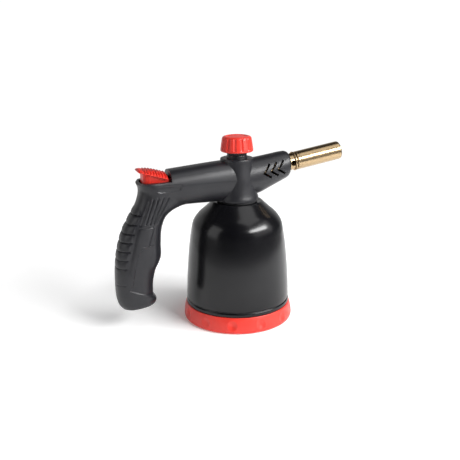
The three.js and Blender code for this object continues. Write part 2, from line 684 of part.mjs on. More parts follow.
function ignitionWire() {
  const end = alongInsulator(new THREE.BufferGeometry().setFromPoints([
    new THREE.Vector3(0, 0, -INSULATOR_LENGTH - 3),
    new THREE.Vector3(0, 0, -INSULATOR_LENGTH - 0.4),
  ]));
  const places = ontoBurnerAxis(end).attributes.position;
  const points = WIRE_ROUTE.map((place) => new THREE.Vector3(...place));
  points.push(new THREE.Vector3().fromBufferAttribute(places, 0));
  points.push(new THREE.Vector3().fromBufferAttribute(places, 1));
  return tubeAlong(new THREE.CatmullRomCurve3(points), 1.1, 6, 40);
}

// ---- Fasteners -----------------------------------------------------------------------------------
function caseScrew([x, z]) {
  const seat = SCREW_HEAD_SEAT + GAP;
  const screw = turned([
    [0, -SCREW_DEPTH], [0.9, -SCREW_DEPTH], [SCREW_SHANK, -SCREW_DEPTH + 1], [SCREW_SHANK, seat], [3, seat],
    [3, seat + 1.2], [2.2, seat + 2], [0, seat + 2],
  ], 8);
  const slot = block([-2.2, -0.45, seat + 1.1], [2.2, 0.45, seat + 3]);
  const cross = block([-0.45, -2.2, seat + 1.1], [0.45, 2.2, seat + 3]);
  return toGeometry(cut(toSolid(screw), slot, cross)).rotateX(-Math.PI / 2).translate(x, 0, z);
}

// ---- Assembly ------------------------------------------------------------------------------------
const torch = new THREE.Group();
const burner = new THREE.Group();
burner.rotation.y = Math.PI / 2 - BURNER_PITCH;
burner.position.z = BURNER_AXIS_HEIGHT;
torch.add(burner);

function addPart(parent, name, geometry, look) {
  const mesh = new THREE.Mesh(closed(geometry), material(look));
  mesh.name = name;
  parent.add(mesh);
}

addPart(torch, 'body_shell_right', shellHalf(-1), 'shell');
addPart(torch, 'body_shell_left', shellHalf(1), 'shell');
SCREW_PLACES.forEach((place, k) => addPart(torch, `case_screw_${k + 1}`, caseScrew(place), 'steel'));
addPart(torch, 'canister_casing', casing(), 'enamel');
addPart(torch, 'neck_washer', turned([[10.8, 114.6], [19, 114.6], [19, 116.1], [10.8, 116.1]]), 'rubber');
addPart(torch, 'clamp_nut', hexNut(14.4, 10.4, 116.7, 121), 'brass');
addPart(torch, 'base_ring', baseRing(), 'red');
addPart(torch, 'cartridge_tray', cartridgeTray(), 'steel');
addPart(torch, 'gas_cartridge', cartridge(), 'can');
addPart(torch, 'valve_body', valveBody(), 'brass');
addPart(torch, 'piercing_needle', piercingNeedle(), 'steel');
addPart(torch, 'cartridge_seal', cartridgeSeal(), 'rubber');
addPart(torch, 'gland_nut', hexNut(9, 6.8, 147.2, 150.2), 'brass');
addPart(torch, 'spindle_guide', spindleGuide(), 'blackPart');
addPart(torch, 'valve_spindle', valveSpindle(), 'steel');
addPart(torch, 'spindle_ring', spindleRing(), 'rubber');
addPart(torch, 'gas_knob', gasKnob(), 'red');
addPart(burner, 'injector_holder', injectorHolder(), 'brass');
addPart(burner, 'injector', injector(), 'brass');
addPart(burner, 'burner_neck', burnerNeck(), 'brass');
addPart(burner, 'burner_ferrule', burnerFerrule(), 'brass');
addPart(burner, 'burner_tube', burnerTube(), 'brass');
addPart(burner, 'flame_holder', flameHolder(), 'brass');
addPart(burner, 'electrode_insulator', insulator(), 'ceramic');
addPart(burner, 'spark_electrode', electrode(), 'steel');
addPart(torch, 'piezo_body', piezoBody(), 'blackPart');
addPart(torch, 'piezo_plunger', piezoPlunger(), 'whitePlastic');
addPart(torch, 'plunger_spring', plungerSpring(), 'steel');
addPart(torch, 'thumb_lever', thumbLever(), 'red');
addPart(torch, 'lever_pin', leverPin(), 'steel');
addPart(torch, 'ignition_wire', ignitionWire(), 'wire');

export default torch;
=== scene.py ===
"""Butane torch: fine meshes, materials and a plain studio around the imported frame.

Shapes are worked out in millimetres in the row frame (origin at the centre of the flat base, +X to the
burner, +Z up) and scaled to metres when a mesh is made.
"""
import math
import bmesh
import bpy
import numpy as np
from mathutils import Matrix, Vector


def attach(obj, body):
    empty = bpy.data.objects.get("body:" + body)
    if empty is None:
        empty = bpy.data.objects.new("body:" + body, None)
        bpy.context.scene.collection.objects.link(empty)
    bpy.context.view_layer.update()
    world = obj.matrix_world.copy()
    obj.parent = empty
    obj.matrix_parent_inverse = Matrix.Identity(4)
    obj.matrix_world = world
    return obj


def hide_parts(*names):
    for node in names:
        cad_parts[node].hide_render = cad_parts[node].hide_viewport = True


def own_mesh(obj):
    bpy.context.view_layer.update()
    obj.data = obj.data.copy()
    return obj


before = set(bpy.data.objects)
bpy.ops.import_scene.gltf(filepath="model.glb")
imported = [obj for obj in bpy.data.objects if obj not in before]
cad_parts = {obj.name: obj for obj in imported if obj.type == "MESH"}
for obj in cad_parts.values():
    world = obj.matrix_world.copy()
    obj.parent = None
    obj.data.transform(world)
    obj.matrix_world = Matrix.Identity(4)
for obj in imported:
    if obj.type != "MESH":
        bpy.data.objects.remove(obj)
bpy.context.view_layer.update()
MM = 0.001

# ---- Dimensions shared with the CAD model, in millimetres ----------------------------------------
GAP = 0.3
WALL = 2.3
FOOT_HEIGHT = 116.4
COLUMN_TOP = 155.8
COLUMN_BORE = 13.6
FOOT_BORE = 15.2
STEM_RADIUS = 9.5
STEM_BORE = STEM_RADIUS + 0.4
DECK = 140.2
DECK_FRONT = -66.2
DECK_REAR = DECK - 2.3 # height of the lower part of the deck, behind the lever
BURNER_PITCH = math.radians(9.3)
BURNER_AXIS_HEIGHT = 139.0
BURNER_MOUTH = 10.3
PIVOT = (-62.0, 140.0)
PIVOT_HOLE = 1.8
PIVOT_BOSS = 3.4
PIVOT_BOSS_INNER = 10.2
TAB_SLOT = (5.4, 9.6)
PLUNGER_X = -85.0
SPRING_LOW, SPRING_HIGH = 118.3, 129.1
SCREW_PLACES = [(-101, 31), (-100, 66), (-62, 121.6), (-30, 122.6), (24, 128.8)]
SCREW_SEAT = 8.0
SCREW_BOSS = 3.7
SCREW_HEAD_HOLE = 3.4
SCREW_SHANK_HOLE = 1.65
KNOB_FLUTES = 14
DIMPLE_COUNT = 12

# inner edge (x, z), outer edge (x, z), half width, place of the widest line from inner to outer, crease
GRIP_SECTIONS = [
    (-86.5, 24.6, -111, 20.9, 11.6, 0.5, 0),
    (-84.1, 25.1, -114.4, 22.2, 13.5, 0.5, 0),
    (-82.4, 27.1, -117.3, 26, 14.8, 0.5, 0),
    (-82.1, 29.8, -118.6, 30, 15.1, 0.5, 0),
    (-84.6, 33.6, -119.3, 35, 15.1, 0.5, 0),
    (-85, 40, -119.6, 43, 15.2, 0.5, 0),
    (-83.9, 50, -119.3, 54, 15.3, 0.5, 0),
    (-81.9, 57.5, -118.7, 61.5, 15.4, 0.5, 0),
    (-77.9, 65.2, -117.9, 69, 15.6, 0.5, 0),
    (-76.1, 70.5, -116.6, 77, 15.7, 0.5, 0),
    (-75.9, 82.4, -113.8, 87, 15.7, 0.5, 0),
    (-75.2, 92.5, -110.7, 95.7, 15.7, 0.5, 0),
    (-73.6, 100.5, -105.6, 105, 15.7, 0.5, 0),
    (-70.2, 107.6, -100.4, 114, 15.8, 0.51, 0),
    (-64.6, 112.2, -96.1, 123, 16, 0.53, 0),
    (-57.5, 115.2, -94.2, 133.5, 16.2, 0.56, 0.3),
    (-51.5, 116.4, -98, 147, 16.4, 0.6, 0.8),
    (-46, 116.6, -84, 148, 16.5, 0.62, 1),
    (-40, 116.6, -69, 149.3, 16.5, 0.62, 1),
    (-32, 116.5, -50, 151, 16.5, 0.61, 1),
    (-20, 116.5, -28, 153, 16.5, 0.58, 1),
    (-3, 116.8, -3, 154.8, 16.3, 0.54, 1),
]
BARREL_SECTIONS = [
    (3, 118, 3, 153.6, 15.6, 0.5, 0),
    (20.9, 121.2, 20.9, 155.5, 15.1, 0.5, 0),
    (34, 127, 34, 157.3, 14.3, 0.5, 0),
    (45, 131.9, 45, 158.8, 13.4, 0.5, 0),
    (48, 133.3, 48, 158.9, 12.9, 0.5, 0),
    (50, 134.8, 50, 158, 11.9, 0.5, 0),
    (51, 136.6, 51, 156.4, 10.2, 0.5, 0),
]
COLUMN_PROFILE = [
    (0, FOOT_HEIGHT), (19.7, FOOT_HEIGHT), (20.1, 116.6), (20.3, 117.2), (20.2, 118.6), (19.1, 122),
    (17.8, 130), (17.3, 137), (16.3, 146), (15.7, 152), (15.6, 155.1), (15.4, 155.6), (14.9, COLUMN_TOP),
    (0, COLUMN_TOP),
]
GRIP_SQUARENESS, BARREL_SQUARENESS = 2.4, 2.1 # 2 is an ellipse, more is boxier
CREASE_OUTER, CREASE_INNER = 0.16, 0.13 # how strongly a crease flattens each side of a section
SEAM = 0.12 # half the gap between the two shells


# ---- Mesh helpers --------------------------------------------------------------------------------
def new_object(name, points, faces):
    """A mesh object from points in millimetres."""
    mesh = bpy.data.meshes.new(name)
    mesh.from_pydata((np.asarray(points, float) * MM).tolist(), [], faces)
    mesh.validate()
    obj = bpy.data.objects.new(name, mesh)
    bpy.context.scene.collection.objects.link(obj)
    return obj


def skin(name, loops):
    """A closed skin through a row of closed loops, given as rows x sides x 3."""
    loops = np.asarray(loops, float)
    rows, sides = loops.shape[:2]
    faces = []
    for r in range(rows - 1):
        for k in range(sides):
            n = (k + 1) % sides
            faces.append((r * sides + k, r * sides + n, (r + 1) * sides + n, (r + 1) * sides + k))
    faces.append(tuple(reversed(range(sides))))
    faces.append(tuple((rows - 1) * sides + k for k in range(sides)))
    obj = new_object(name, loops.reshape(-1, 3), faces)
    outward(obj)
    return obj


def outward(obj):
    """Turns the faces of a closed mesh outwards."""
    bm = bmesh.new()
    bm.from_mesh(obj.data)
    bmesh.ops.recalc_face_normals(bm, faces=bm.faces)
    if bm.calc_volume(signed=True) < 0:
        bmesh.ops.reverse_faces(bm, faces=bm.faces)
    bm.to_mesh(obj.data)
    bm.free()


def turned(name, profile, segments, shape=None, closed_ring=False):
    """A turned piece about Z. The profile lists (radius, height) and starts and ends on the axis,
    or closes on itself when closed_ring is set. shape(radius, height, angles) may return new radii."""
    profile = np.asarray(profile, float)
    angles = np.linspace(0, 2 * math.pi, segments, endpoint=False)
    inner = profile if closed_ring else profile[1:-1]
    points = []
    for radius, height in inner:
        radii = np.full(segments, radius) if shape is None else shape(radius, height, angles)
        heights = np.full(segments, height)
        points.append(np.stack([radii * np.cos(angles), radii * np.sin(angles), heights], -1))
    points = np.concatenate(points)
    rows = len(inner)
    faces = []
    last = rows if closed_ring else rows - 1
    for r in range(last):
        s = (r + 1) % rows
        for k in range(segments):
            n = (k + 1) % segments
            faces.append((r * segments + k, r * segments + n, s * segments + n, s * segments + k))
    if not closed_ring:
        points = np.concatenate([points, [[0, 0, profile[0][1]], [0, 0, profile[-1][1]]]])
        low, high = rows * segments, rows * segments + 1
        for k in range(segments):
            n = (k + 1) % segments
            faces.append((low, n, k))
            faces.append((high, (rows - 1) * segments + k, (rows - 1) * segments + n))
    obj = new_object(name, points, faces)
    outward(obj)
    return obj


def bore(name, radius, low, high, segments=64):
    """A plain cylinder about Z, used to cut a round hole."""
    return turned(name, [(0, low), (radius, low), (radius, high), (0, high)], segments)


def rounded(profile, steps=4):
    """Rounds the corners of a profile. A point may carry a third value, its fillet radius."""
    result = []
    count = len(profile)
    for i, point in enumerate(profile):
        radius = point[2] if len(point) > 2 else 0
        here = np.array(point[:2], float)
        if radius == 0 or i in (0, count - 1):
            result.append(tuple(here))
            continue
        before = np.array(profile[i - 1][:2], float) - here
        after = np.array(profile[(i + 1) % count][:2], float) - here
        reach = min(radius, 0.45 * np.linalg.norm(before), 0.45 * np.linalg.norm(after))
        start = here + before / np.linalg.norm(before) * reach
        end = here + after / np.linalg.norm(after) * reach
        for step in range(steps + 1):
            t = step / steps
            result.append(tuple((1 - t) ** 2 * start + 2 * t * (1 - t) * here + t * t * end))
    return result


def refined(profile, spacing):
    """Adds points along a profile so that no step is longer than the spacing."""
    result = [tuple(profile[0][:2])]
    for a, b in zip(profile[:-1], profile[1:]):
        a, b = np.array(a[:2], float), np.array(b[:2], float)
        pieces = max(1, int(math.ceil(np.linalg.norm(b - a) / spacing)))
        for k in range(1, pieces + 1):
            result.append(tuple(a + (b - a) * k / pieces))
    return result


def curve_through(knots, rows, places):
    """A smooth cubic curve through rows of values at the knots, read at the places."""
    slopes = np.gradient(rows, knots, axis=0)
    index = np.clip(np.searchsorted(knots, places, side="right") - 1, 0, len(knots) - 2)
    width = (knots[index + 1] - knots[index])[:, None]
    t = (places - knots[index])[:, None] / width
    leaving = (2 * t ** 3 - 3 * t ** 2 + 1) * rows[index] + (t ** 3 - 2 * t ** 2 + t) * width * slopes[index]
    return (leaving + (-2 * t ** 3 + 3 * t ** 2) * rows[index + 1]
            + (t ** 3 - t ** 2) * width * slopes[index + 1])


def height_curve(points, xs):
    """Height of a smooth curve through (x, z) points, at the given x."""
    return curve_through(points[:, 0], points[:, 1:2], xs)[:, 0]


def spline(rows, count):
    """Smooth sections through the given ones, spaced evenly by the mean length of their two edges."""
    rows = np.asarray(rows, float)
    steps = (np.linalg.norm(np.diff(rows[:, 0:2], axis=0), axis=1)
             + np.linalg.norm(np.diff(rows[:, 2:4], axis=0), axis=1)) / 2
    knots = np.concatenate([[0], np.cumsum(steps)])
    return curve_through(knots, rows, np.linspace(0, knots[-1], count))


def section_loops(rows, inset, squareness, sides):
    """Closed loops across the body, one for each section, drawn in by the inset."""
    angles = 2 * math.pi * np.arange(sides) / sides
    lengthwise, crosswise = np.cos(angles), np.sin(angles)
    power = 2 / squareness
    loops = []
    for ix, iz, ox, oz, half, widest, crease in rows:
        span = math.hypot(ox - ix, oz - iz)
        ux, uz = (ox - ix) / span, (oz - iz) / span
        middle = widest * span
        reach = np.where(lengthwise > 0, span - middle, middle) - inset
        along = middle + reach * np.sign(lengthwise) * np.abs(lengthwise) ** power
        side = np.abs(crosswise) ** power
        away = np.abs(lengthwise) ** power
        tilt = np.where(lengthwise > 0, CREASE_OUTER, CREASE_INNER) * crease
        side = side * (1 - tilt * away * (1 - away))
        across = (half - inset) * np.sign(crosswise) * side
        loops.append(np.stack([ix + ux * along, across, iz + uz * along], -1))
    return np.array(loops)


def bake(obj):
    """Works the object's modifiers into its mesh."""
    graph = bpy.context.evaluated_depsgraph_get()
    mesh = bpy.data.meshes.new_from_object(obj.evaluated_get(graph))
    obj.modifiers.clear()
    old = obj.data
    obj.data = mesh
    bpy.data.meshes.remove(old)


def combine(obj, tool, operation):
    """Joins, cuts or intersects obj with tool, and removes the tool."""
    modifier = obj.modifiers.new("combine", "BOOLEAN")
    modifier.object = tool
    modifier.operation = operation
    modifier.solver = "MANIFOLD"
    bake(obj)
    if len(obj.data.polygons) == 0:
        raise RuntimeError(f"{operation} of {obj.name} with {tool.name} left nothing")
    bpy.data.objects.remove(tool)


def bevel(obj, width, segments=3):
    """Rounds the sharp edges of a piece, by a width in millimetres."""
    modifier = obj.modifiers.new("bevel", "BEVEL")
    modifier.width = width * MM
    modifier.segments = segments
    modifier.limit_method = "ANGLE"
    bake(obj)


def box(name, low, high):
    """A box between two corners."""
    (x0, y0, z0), (x1, y1, z1) = low, high
    points = [(x, y, z) for x in (x0, x1) for y in (y0, y1) for z in (z0, z1)]
    faces = [(0, 1, 3, 2), (4, 6, 7, 5), (0, 4, 5, 1), (2, 3, 7, 6), (0, 2, 6, 4), (1, 5, 7, 3)]
    obj = new_object(name, points, faces)
    outward(obj)
    return obj


def prism(name, outline, low, high):
    """An outline in the XZ plane, extruded across Y."""
    loops = [[(x, y, z) for x, z in outline] for y in (low, high)]
    return skin(name, loops)


def plate(name, plan, low, high):
    """A plan given as (x, half width) pairs, mirrored about Y = 0 and extruded along Z."""
    ring = [(x, -half) for x, half in plan] + [(x, half) for x, half in reversed(plan)]
    return skin(name, [[(x, y, z) for x, y in ring] for z in (low, high)])


def cross_rod(name, radius, place, low, high, sides=32):
    """A rod across Y, at an (x, z) place."""
    x, z = place
    ring = [(x + radius * math.cos(a), z + radius * math.sin(a))
            for a in np.linspace(0, 2 * math.pi, sides, endpoint=False)]
    return prism(name, ring, low, high)


def onto_burner_axis(obj):
    """Lays a piece made along Z along the burner's axis."""
    swing = Matrix.Rotation(math.pi / 2 - BURNER_PITCH, 4, "Y")
    obj.data.transform(Matrix.Translation((0, 0, BURNER_AXIS_HEIGHT * MM)) @ swing)
    obj.data.update()
    return obj


def smooth(obj, angle=28):
    """Smooth shading, with sharp edges past the angle in degrees."""
    obj.data.shade_smooth()
    obj.data.set_sharp_from_angle(angle=math.radians(angle))


# ---- Body: grip, arm, column and barrel ----------------------------------------------------------
def distance_to_line(x, z, line):
    """Distance from points to an open line of (x, z) corners."""
    best = np.full(x.shape, 1e9)
    for (x0, z0), (x1, z1) in zip(line[:-1], line[1:]):
        dx, dz = x1 - x0, z1 - z0
        t = np.clip(((x - x0) * dx + (z - z0) * dz) / (dx * dx + dz * dz), 0, 1)
        best = np.minimum(best, np.hypot(x - x0 - t * dx, z - z0 - t * dz))
    return best


def inside_outline(x, z, outline):
    """Signed distance to a closed outline, positive inside."""
    inside = np.zeros(x.shape, bool)
    closed = list(outline) + [outline[0]]
    for (x0, z0), (x1, z1) in zip(closed[:-1], closed[1:]):
        crosses = (z0 > z) != (z1 > z)
        with np.errstate(divide="ignore", invalid="ignore"):
            at = (x1 - x0) * (z - z0) / (z1 - z0) + x0
        inside ^= crosses & (x < at)
    distance = distance_to_line(x, z, closed)
    return np.where(inside, distance, -distance)


def ease(value):
    """0 below 0, 1 above 1, and a smooth step between them."""
    value = np.clip(value, 0, 1)
    return value * value * (3 - 2 * value)


# the strap's grooves: height at the strap's front edge, x of that edge, depth
STRAP_GROOVES = [
    (63.5, -110.6, 0.55), (71.2, -109.4, 0.65), (79.4, -107.2, 0.8), (87.6, -105.0, 0.95),
    (95.6, -102.9, 1.1), (103.6, -99.9, 1.15), (112.0, -95.2, 1.2),
]
GROOVE_HEIGHTS, GROOVE_FRONTS, GROOVE_DEPTHS = (np.array(column) for column in zip(*STRAP_GROOVES))
FAINT_GROOVE = (47.6, -111.3) # height, x of the front edge

# the grip's side, as outlines and lines of (x, z)
LOWER_PANEL = [(-91.4, 82.8), (-96.0, 80.6), (-99.6, 76.2), (-101.6, 70), (-103.4, 60), (-105.6, 50),
               (-108.8, 42.3), (-88.6, 34.4), (-60, 30), (-60, 90)]
NOTCH = [(-90, 141), (-56.1, 141), (-56.8, 138.4), (-59.3, 132.6), (-77, 132.0), (-84, 133.2)]
UPPER_EDGE = [(-97.6, 100.5), (-85.6, 101.0)]
SLANTED_EDGE = [(-84.4, 100.0), (-89.6, 83.4)]
SHORT_EDGE = [(-94.3, 83.3), (-90.3, 83.4)]
FLUTE_TOPS = [(-88.2, 124.0), (-83.9, 126.5), (-79.4, 127.5), (-74.9, 127.5), (-70.2, 127)]
FLUTE_FEET = [(-95.6, 104.6), (-91.8, 104.2), (-88.2, 104.0), (-84.6, 104.0), (-81.2, 104.4)]

# the relief's heights and depths, the half widths of its grooves, and shares of a strap groove's depth
PILLOW_SHARE, CUT_SHARE, CUT_WIDTH = 0.62, 0.75, 0.95
STRAP_TOP_RISE, STRAP_FOOT_RISE = 0.75, 0.3
CHANNEL_DEPTH, CHANNEL_WIDTH, CHANNEL_SETBACK = 0.45, 1.7, 2.6
FAINT_DEPTH, FAINT_WIDTH = 0.28, 0.9
PANEL_DEPTH, NOTCH_DEPTH = 0.85, 0.8
EDGE_DEPTH, EDGE_WIDTH = 0.5, 0.85
FLUTE_DEPTH, FLUTE_WIDTH = 0.6, 1.3


def groove(distance, width):
    """A rounded groove: 1 in the middle, 0 from its edges on."""
    return ease(1 - distance / width)


def strap_relief(x, z):
    """The back strap: pillows between grooves, proud of the sides of the grip."""
    heights, depths = GROOVE_HEIGHTS, GROOVE_DEPTHS
    front = np.interp(z, heights, GROOVE_FRONTS)
    level = z - 0.06 * (x - front)
    within = ease((front - x + 0.4) / 1.5)
    height = np.zeros(x.shape)
    for low, high, d0, d1 in zip(heights[:-1], heights[1:], depths[:-1], depths[1:]):
        across = np.abs(2 * (level - low) / (high - low) - 1)
        pillow = np.where(across < 1, 1 - across ** 2.4, 0)
        height += PILLOW_SHARE * (d0 + d1) / 2 * pillow
    roll_on = np.clip((level - heights[-1]) / 1.6, 0, 9)
    top_rise = STRAP_TOP_RISE * (1 - np.exp(-roll_on)) * ease((heights[-1] + 7 - level) / 6)
    height += np.where(level >= heights[-1], top_rise, 0)
    roll_off = np.clip((heights[0] - level) / 1.2, 0, 9)
    foot_rise = STRAP_FOOT_RISE * (1 - np.exp(-roll_off)) * ease((level - heights[0] + 15) / 14)
    height += np.where(level < heights[0], foot_rise, 0)
    height *= within
    reach = ease((front - x + 1.0) / 1.0)
    for low, depth in zip(heights, depths):
        height -= CUT_SHARE * depth * reach * groove(np.abs(level - low), CUT_WIDTH)
    return height


def grip_relief(x, y, z):
    """Height of the moulded relief over the grip's skin, in millimetres."""
    side = ease((np.abs(y) - 6.5) / 3)
    height = strap_relief(x, z)
    front = np.interp(z, GROOVE_HEIGHTS, GROOVE_FRONTS)
    channel = np.exp(-((x - front - CHANNEL_SETBACK) / CHANNEL_WIDTH) ** 2)
    channel = channel * ease((z - 56) / 8) * ease((116 - z) / 5)
    height -= CHANNEL_DEPTH * channel * side
    faint_height, faint_front = FAINT_GROOVE
    level = z - 0.05 * (x - faint_front)
    faint = groove(np.abs(level - faint_height), FAINT_WIDTH)
    height -= FAINT_DEPTH * ease((faint_front - x) / 1.5) * faint
    panel = ease((inside_outline(x, z, LOWER_PANEL) + 0.4) / 0.9)
    height -= PANEL_DEPTH * side * panel * ease((-83.2 - x) / 5)
    notch = ease((inside_outline(x, z, NOTCH) + 0.3) / 0.7) * ease((x + 84) / 9) * ease((138.9 - z) / 2.2)
    height -= NOTCH_DEPTH * side * notch
    for edge in (UPPER_EDGE, SLANTED_EDGE, SHORT_EDGE):
        height -= EDGE_DEPTH * side * groove(distance_to_line(x, z, edge), EDGE_WIDTH)
    for top, foot in zip(FLUTE_TOPS, FLUTE_FEET):
        height -= FLUTE_DEPTH * side * groove(distance_to_line(x, z, [top, foot]), FLUTE_WIDTH)
    return height


def relieved(loops, relief):
    """Moves a grid of loops along its normals by the relief."""
    loops = np.asarray(loops)
    along = np.gradient(loops, axis=0)
    around = (np.roll(loops, -1, axis=1) - np.roll(loops, 1, axis=1)) / 2
    normal = np.cross(around, along)
    normal /= np.maximum(np.linalg.norm(normal, axis=2, keepdims=True), 1e-9)
    centre = loops.mean(axis=1, keepdims=True)
    facing = np.sign(np.sum(normal * (loops - centre), axis=2, keepdims=True))
    normal *= facing
    height = relief(loops[..., 0], loops[..., 1], loops[..., 2])
    return loops + normal * height[..., None]


def grip_skin(name, inset, first, rows, sides, relief=None):
    """The grip and arm, drawn in by the inset and without the first sections at the grip's foot."""
    sections = spline(GRIP_SECTIONS, rows)[first:]
    loops = section_loops(sections, inset, GRIP_SQUARENESS, sides)
    if relief is not None:
        loops = relieved(loops, relief)
    return skin(name, loops)


def barrel_skin(name, inset, trim, rows, sides):
    """The barrel, drawn in by the inset and without the last sections at its mouth."""
    sections = spline(BARREL_SECTIONS, rows)[:rows - trim]
    return skin(name, section_loops(sections, inset, BARREL_SQUARENESS, sides))


# plans as (x, half width) pairs: the lever's skirt, and the well that it sinks into
LEVER_PLAN = [(-90.6, 6.6), (-89.0, 8.4), (-85.2, 9.8), (-67.6, 9.8)]
WELL_PLAN = [(-92.7, 6.03), (-90.5, 8.93), (-86.1, 10.43), (DECK_FRONT, 10.43)]
WELL_DEPTH = 10.8

# the V-shaped air slots: first apex (x, z), step to the next one, and the two arms from an apex
CHEVRON_COUNT = 3
CHEVRON_APEX = (22.0, 141.7)
CHEVRON_PITCH = (7.1, 1.35)
CHEVRON_ARMS = [(6.1, 8.2), (7.6, -4.5)]
CHEVRON_WIDTH = 1.9


def chevron_slots():
    """The air slots of the barrel, each arm cut straight through both sides."""
    slots = []
    half = CHEVRON_WIDTH / 2
    for k in range(CHEVRON_COUNT):
        apex = np.array(CHEVRON_APEX) + k * np.array(CHEVRON_PITCH)
        for n, arm in enumerate(CHEVRON_ARMS):
            along = np.array(arm)
            unit = along / np.linalg.norm(along)
            side = np.array([-unit[1], unit[0]]) * half
            start, end = apex - unit * half, apex + along
            outline = [start + side, start - side, end - side, end + side]
            slots.append(prism(f"slot_{k}_{n}", [tuple(p) for p in outline], -24, 24))
    return slots


def body_cuts():
    """Everything that is cut from the moulded body after it has been hollowed."""
    deck = [(DECK_FRONT, 170), (DECK_FRONT, DECK + 0.3), (-91.8, DECK), (-93, DECK - 0.7), (-97, DECK_REAR),
            (-112, DECK_REAR), (-112, 170)]
    near, far = TAB_SLOT
    cuts = [prism("deck_cut", deck, -30, 30),
            plate("lever_well", WELL_PLAN, DECK - WELL_DEPTH, DECK + 4),
            box("tab_slot_r", (DECK_FRONT - 2, -far, 133), (PIVOT[0] + 4, -near, 144)),
            box("tab_slot_l", (DECK_FRONT - 2, near, 133), (PIVOT[0] + 4, far, 144)),
            onto_burner_axis(bore("mouth", BURNER_MOUTH, 44, 60)),
            bore("foot_bore", FOOT_BORE, 110, 121.5),
            bore("stem_bore", STEM_BORE, 150, 160),
            cross_rod("pin_hole", PIVOT_HOLE, PIVOT, -13.2, 13.2)]
    cuts += chevron_slots()
    for place in SCREW_PLACES:
        cuts.append(cross_rod("head_hole", SCREW_HEAD_HOLE, place, SCREW_SEAT, 22))
        cuts.append(cross_rod("shank_hole", SCREW_SHANK_HOLE, place, -11, SCREW_SEAT + 0.5, 16))
    return cuts


def body_solid():
    """Both shells in one: skins joined, hollowed, given bosses for the screws and the pin, and cut."""
    rows, sides = ((560, 208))
    body = grip_skin("body", 0, 0, rows, sides, grip_relief)
    combine(body, turned("column", refined(COLUMN_PROFILE, 3), 128), "UNION")
    combine(body, barrel_skin("barrel", 0, 0, 40, 128), "UNION")
    hollow = grip_skin("hollow", WALL, 12, 120, 48)
    combine(hollow, box("deck_slab", (-120, -30, DECK - WALL), (DECK_FRONT + WALL, 30, 170)), "DIFFERENCE")
    combine(hollow, box("waist_wall", (-120, -30, 122), (-90.9, 30, DECK)), "DIFFERENCE")
    combine(hollow, bore("column_bore", COLUMN_BORE, 119.5, COLUMN_TOP - WALL), "UNION")
    combine(hollow, barrel_skin("barrel_hollow", WALL, 8, 40, 64), "UNION")
    combine(body, hollow, "DIFFERENCE")
    bosses = cross_rod("bosses", SCREW_BOSS, SCREW_PLACES[0], -18, 18)
    for place in SCREW_PLACES[1:]:
        combine(bosses, cross_rod("boss", SCREW_BOSS, place, -18, 18), "UNION")
    for low, high in ((-18, -PIVOT_BOSS_INNER), (PIVOT_BOSS_INNER, 18)):
        combine(bosses, cross_rod("pin_boss", PIVOT_BOSS, PIVOT, low, high), "UNION")
    within = grip_skin("within", 1.4, 0, 120, 64)
    combine(within, barrel_skin("barrel_within", 1.4, 4, 40, 64), "UNION")
    combine(bosses, within, "INTERSECT")
    combine(body, bosses, "UNION")
    for tool in body_cuts():
        combine(body, tool, "DIFFERENCE")
    return body


def shell_halves():
    """The right and left shells, split along the middle plane."""
    body = body_solid()
    halves = []
    for name, low, high in (("shell_right", -40, -SEAM), ("shell_left", SEAM, 40)):
        half = body.copy()
        half.data = body.data.copy()
        half.name = name
        bpy.context.scene.collection.objects.link(half)
        combine(half, box("half_space", (-140, low, 0), (80, high, 190)), "INTERSECT")
        halves.append(half)
    bpy.data.objects.remove(body)
    return halves


# ---- Casing, base, knob and collar ---------------------------------------------------------------
def softened(profile, spacing, span):
    """Runs a curve through the outer side of a profile between two heights."""
    points = np.array(profile, float)
    low, high = span
    top = int(np.argmax(points[:, 1]))
    picked = [i for i in range(top) if low < points[i, 1] < high]
    chosen = points[picked]
    knots = np.concatenate([[0], np.cumsum(np.linalg.norm(np.diff(chosen, axis=0), axis=1))])
    curve = curve_through(knots, chosen, np.linspace(0, knots[-1], int(knots[-1] / spacing)))
    return [tuple(p) for p in (*points[:picked[0]], *curve, *points[picked[-1] + 1:])]


def casing_piece():
    """The sheet metal bell round the cartridge, with a rolled bead near its foot."""
    outside = [
        (47.5, 7), (48.3, 7, 0.2), (48.3, 14.9, 0.3), (49.7, 15.7, 0.7), (49.95, 17.3, 0.8),
        (49.6, 18.9, 0.5), (48.85, 19.4, 0.3), (48.85, 20.1, 0.3), (49.5, 20.8, 0.6), (49.5, 24),
        (49.3, 30), (48.9, 40), (48.3, 50), (47.1, 65), (45.9, 75.5), (44.4, 85.5), (43.45, 91),
        (42.2, 95.4), (40, 99.2), (36.5, 103.5), (31.5, 107.8), (26.7, 112), (24.6, 114.1),
        (23.4, 115.1, 0.7), (21.9, 115.3, 0.8), (20.9, 114.2, 0.6), (10.4, 114.2, 0.2),
    ]
    inside = [
        (10.4, 113.4), (22.3, 113.4), (30.6, 107.2), (39.2, 98.5), (43.4, 85.4), (47.0, 49.9),
        (48.1, 24), (47.5, 19.5),
    ]
    profile = softened(rounded(outside + inside), 2.2, (22, 113.5))
    return turned("casing", profile, 224, closed_ring=True)


DIMPLE_FIRST = math.radians(5)
DIMPLE_HEIGHT = 8
DIMPLE_DEPTH, DIMPLE_RADIUS = 1.15, 4.9
DIMPLE_LIP, DIMPLE_LIP_PLACE, DIMPLE_LIP_WIDTH = 0.16, 1.06, 0.16 # the last two as shares of the radius
BASE_SIDE = 50.3 # the skirt lies outside this radius
BASE_SLOT_COUNT = 6


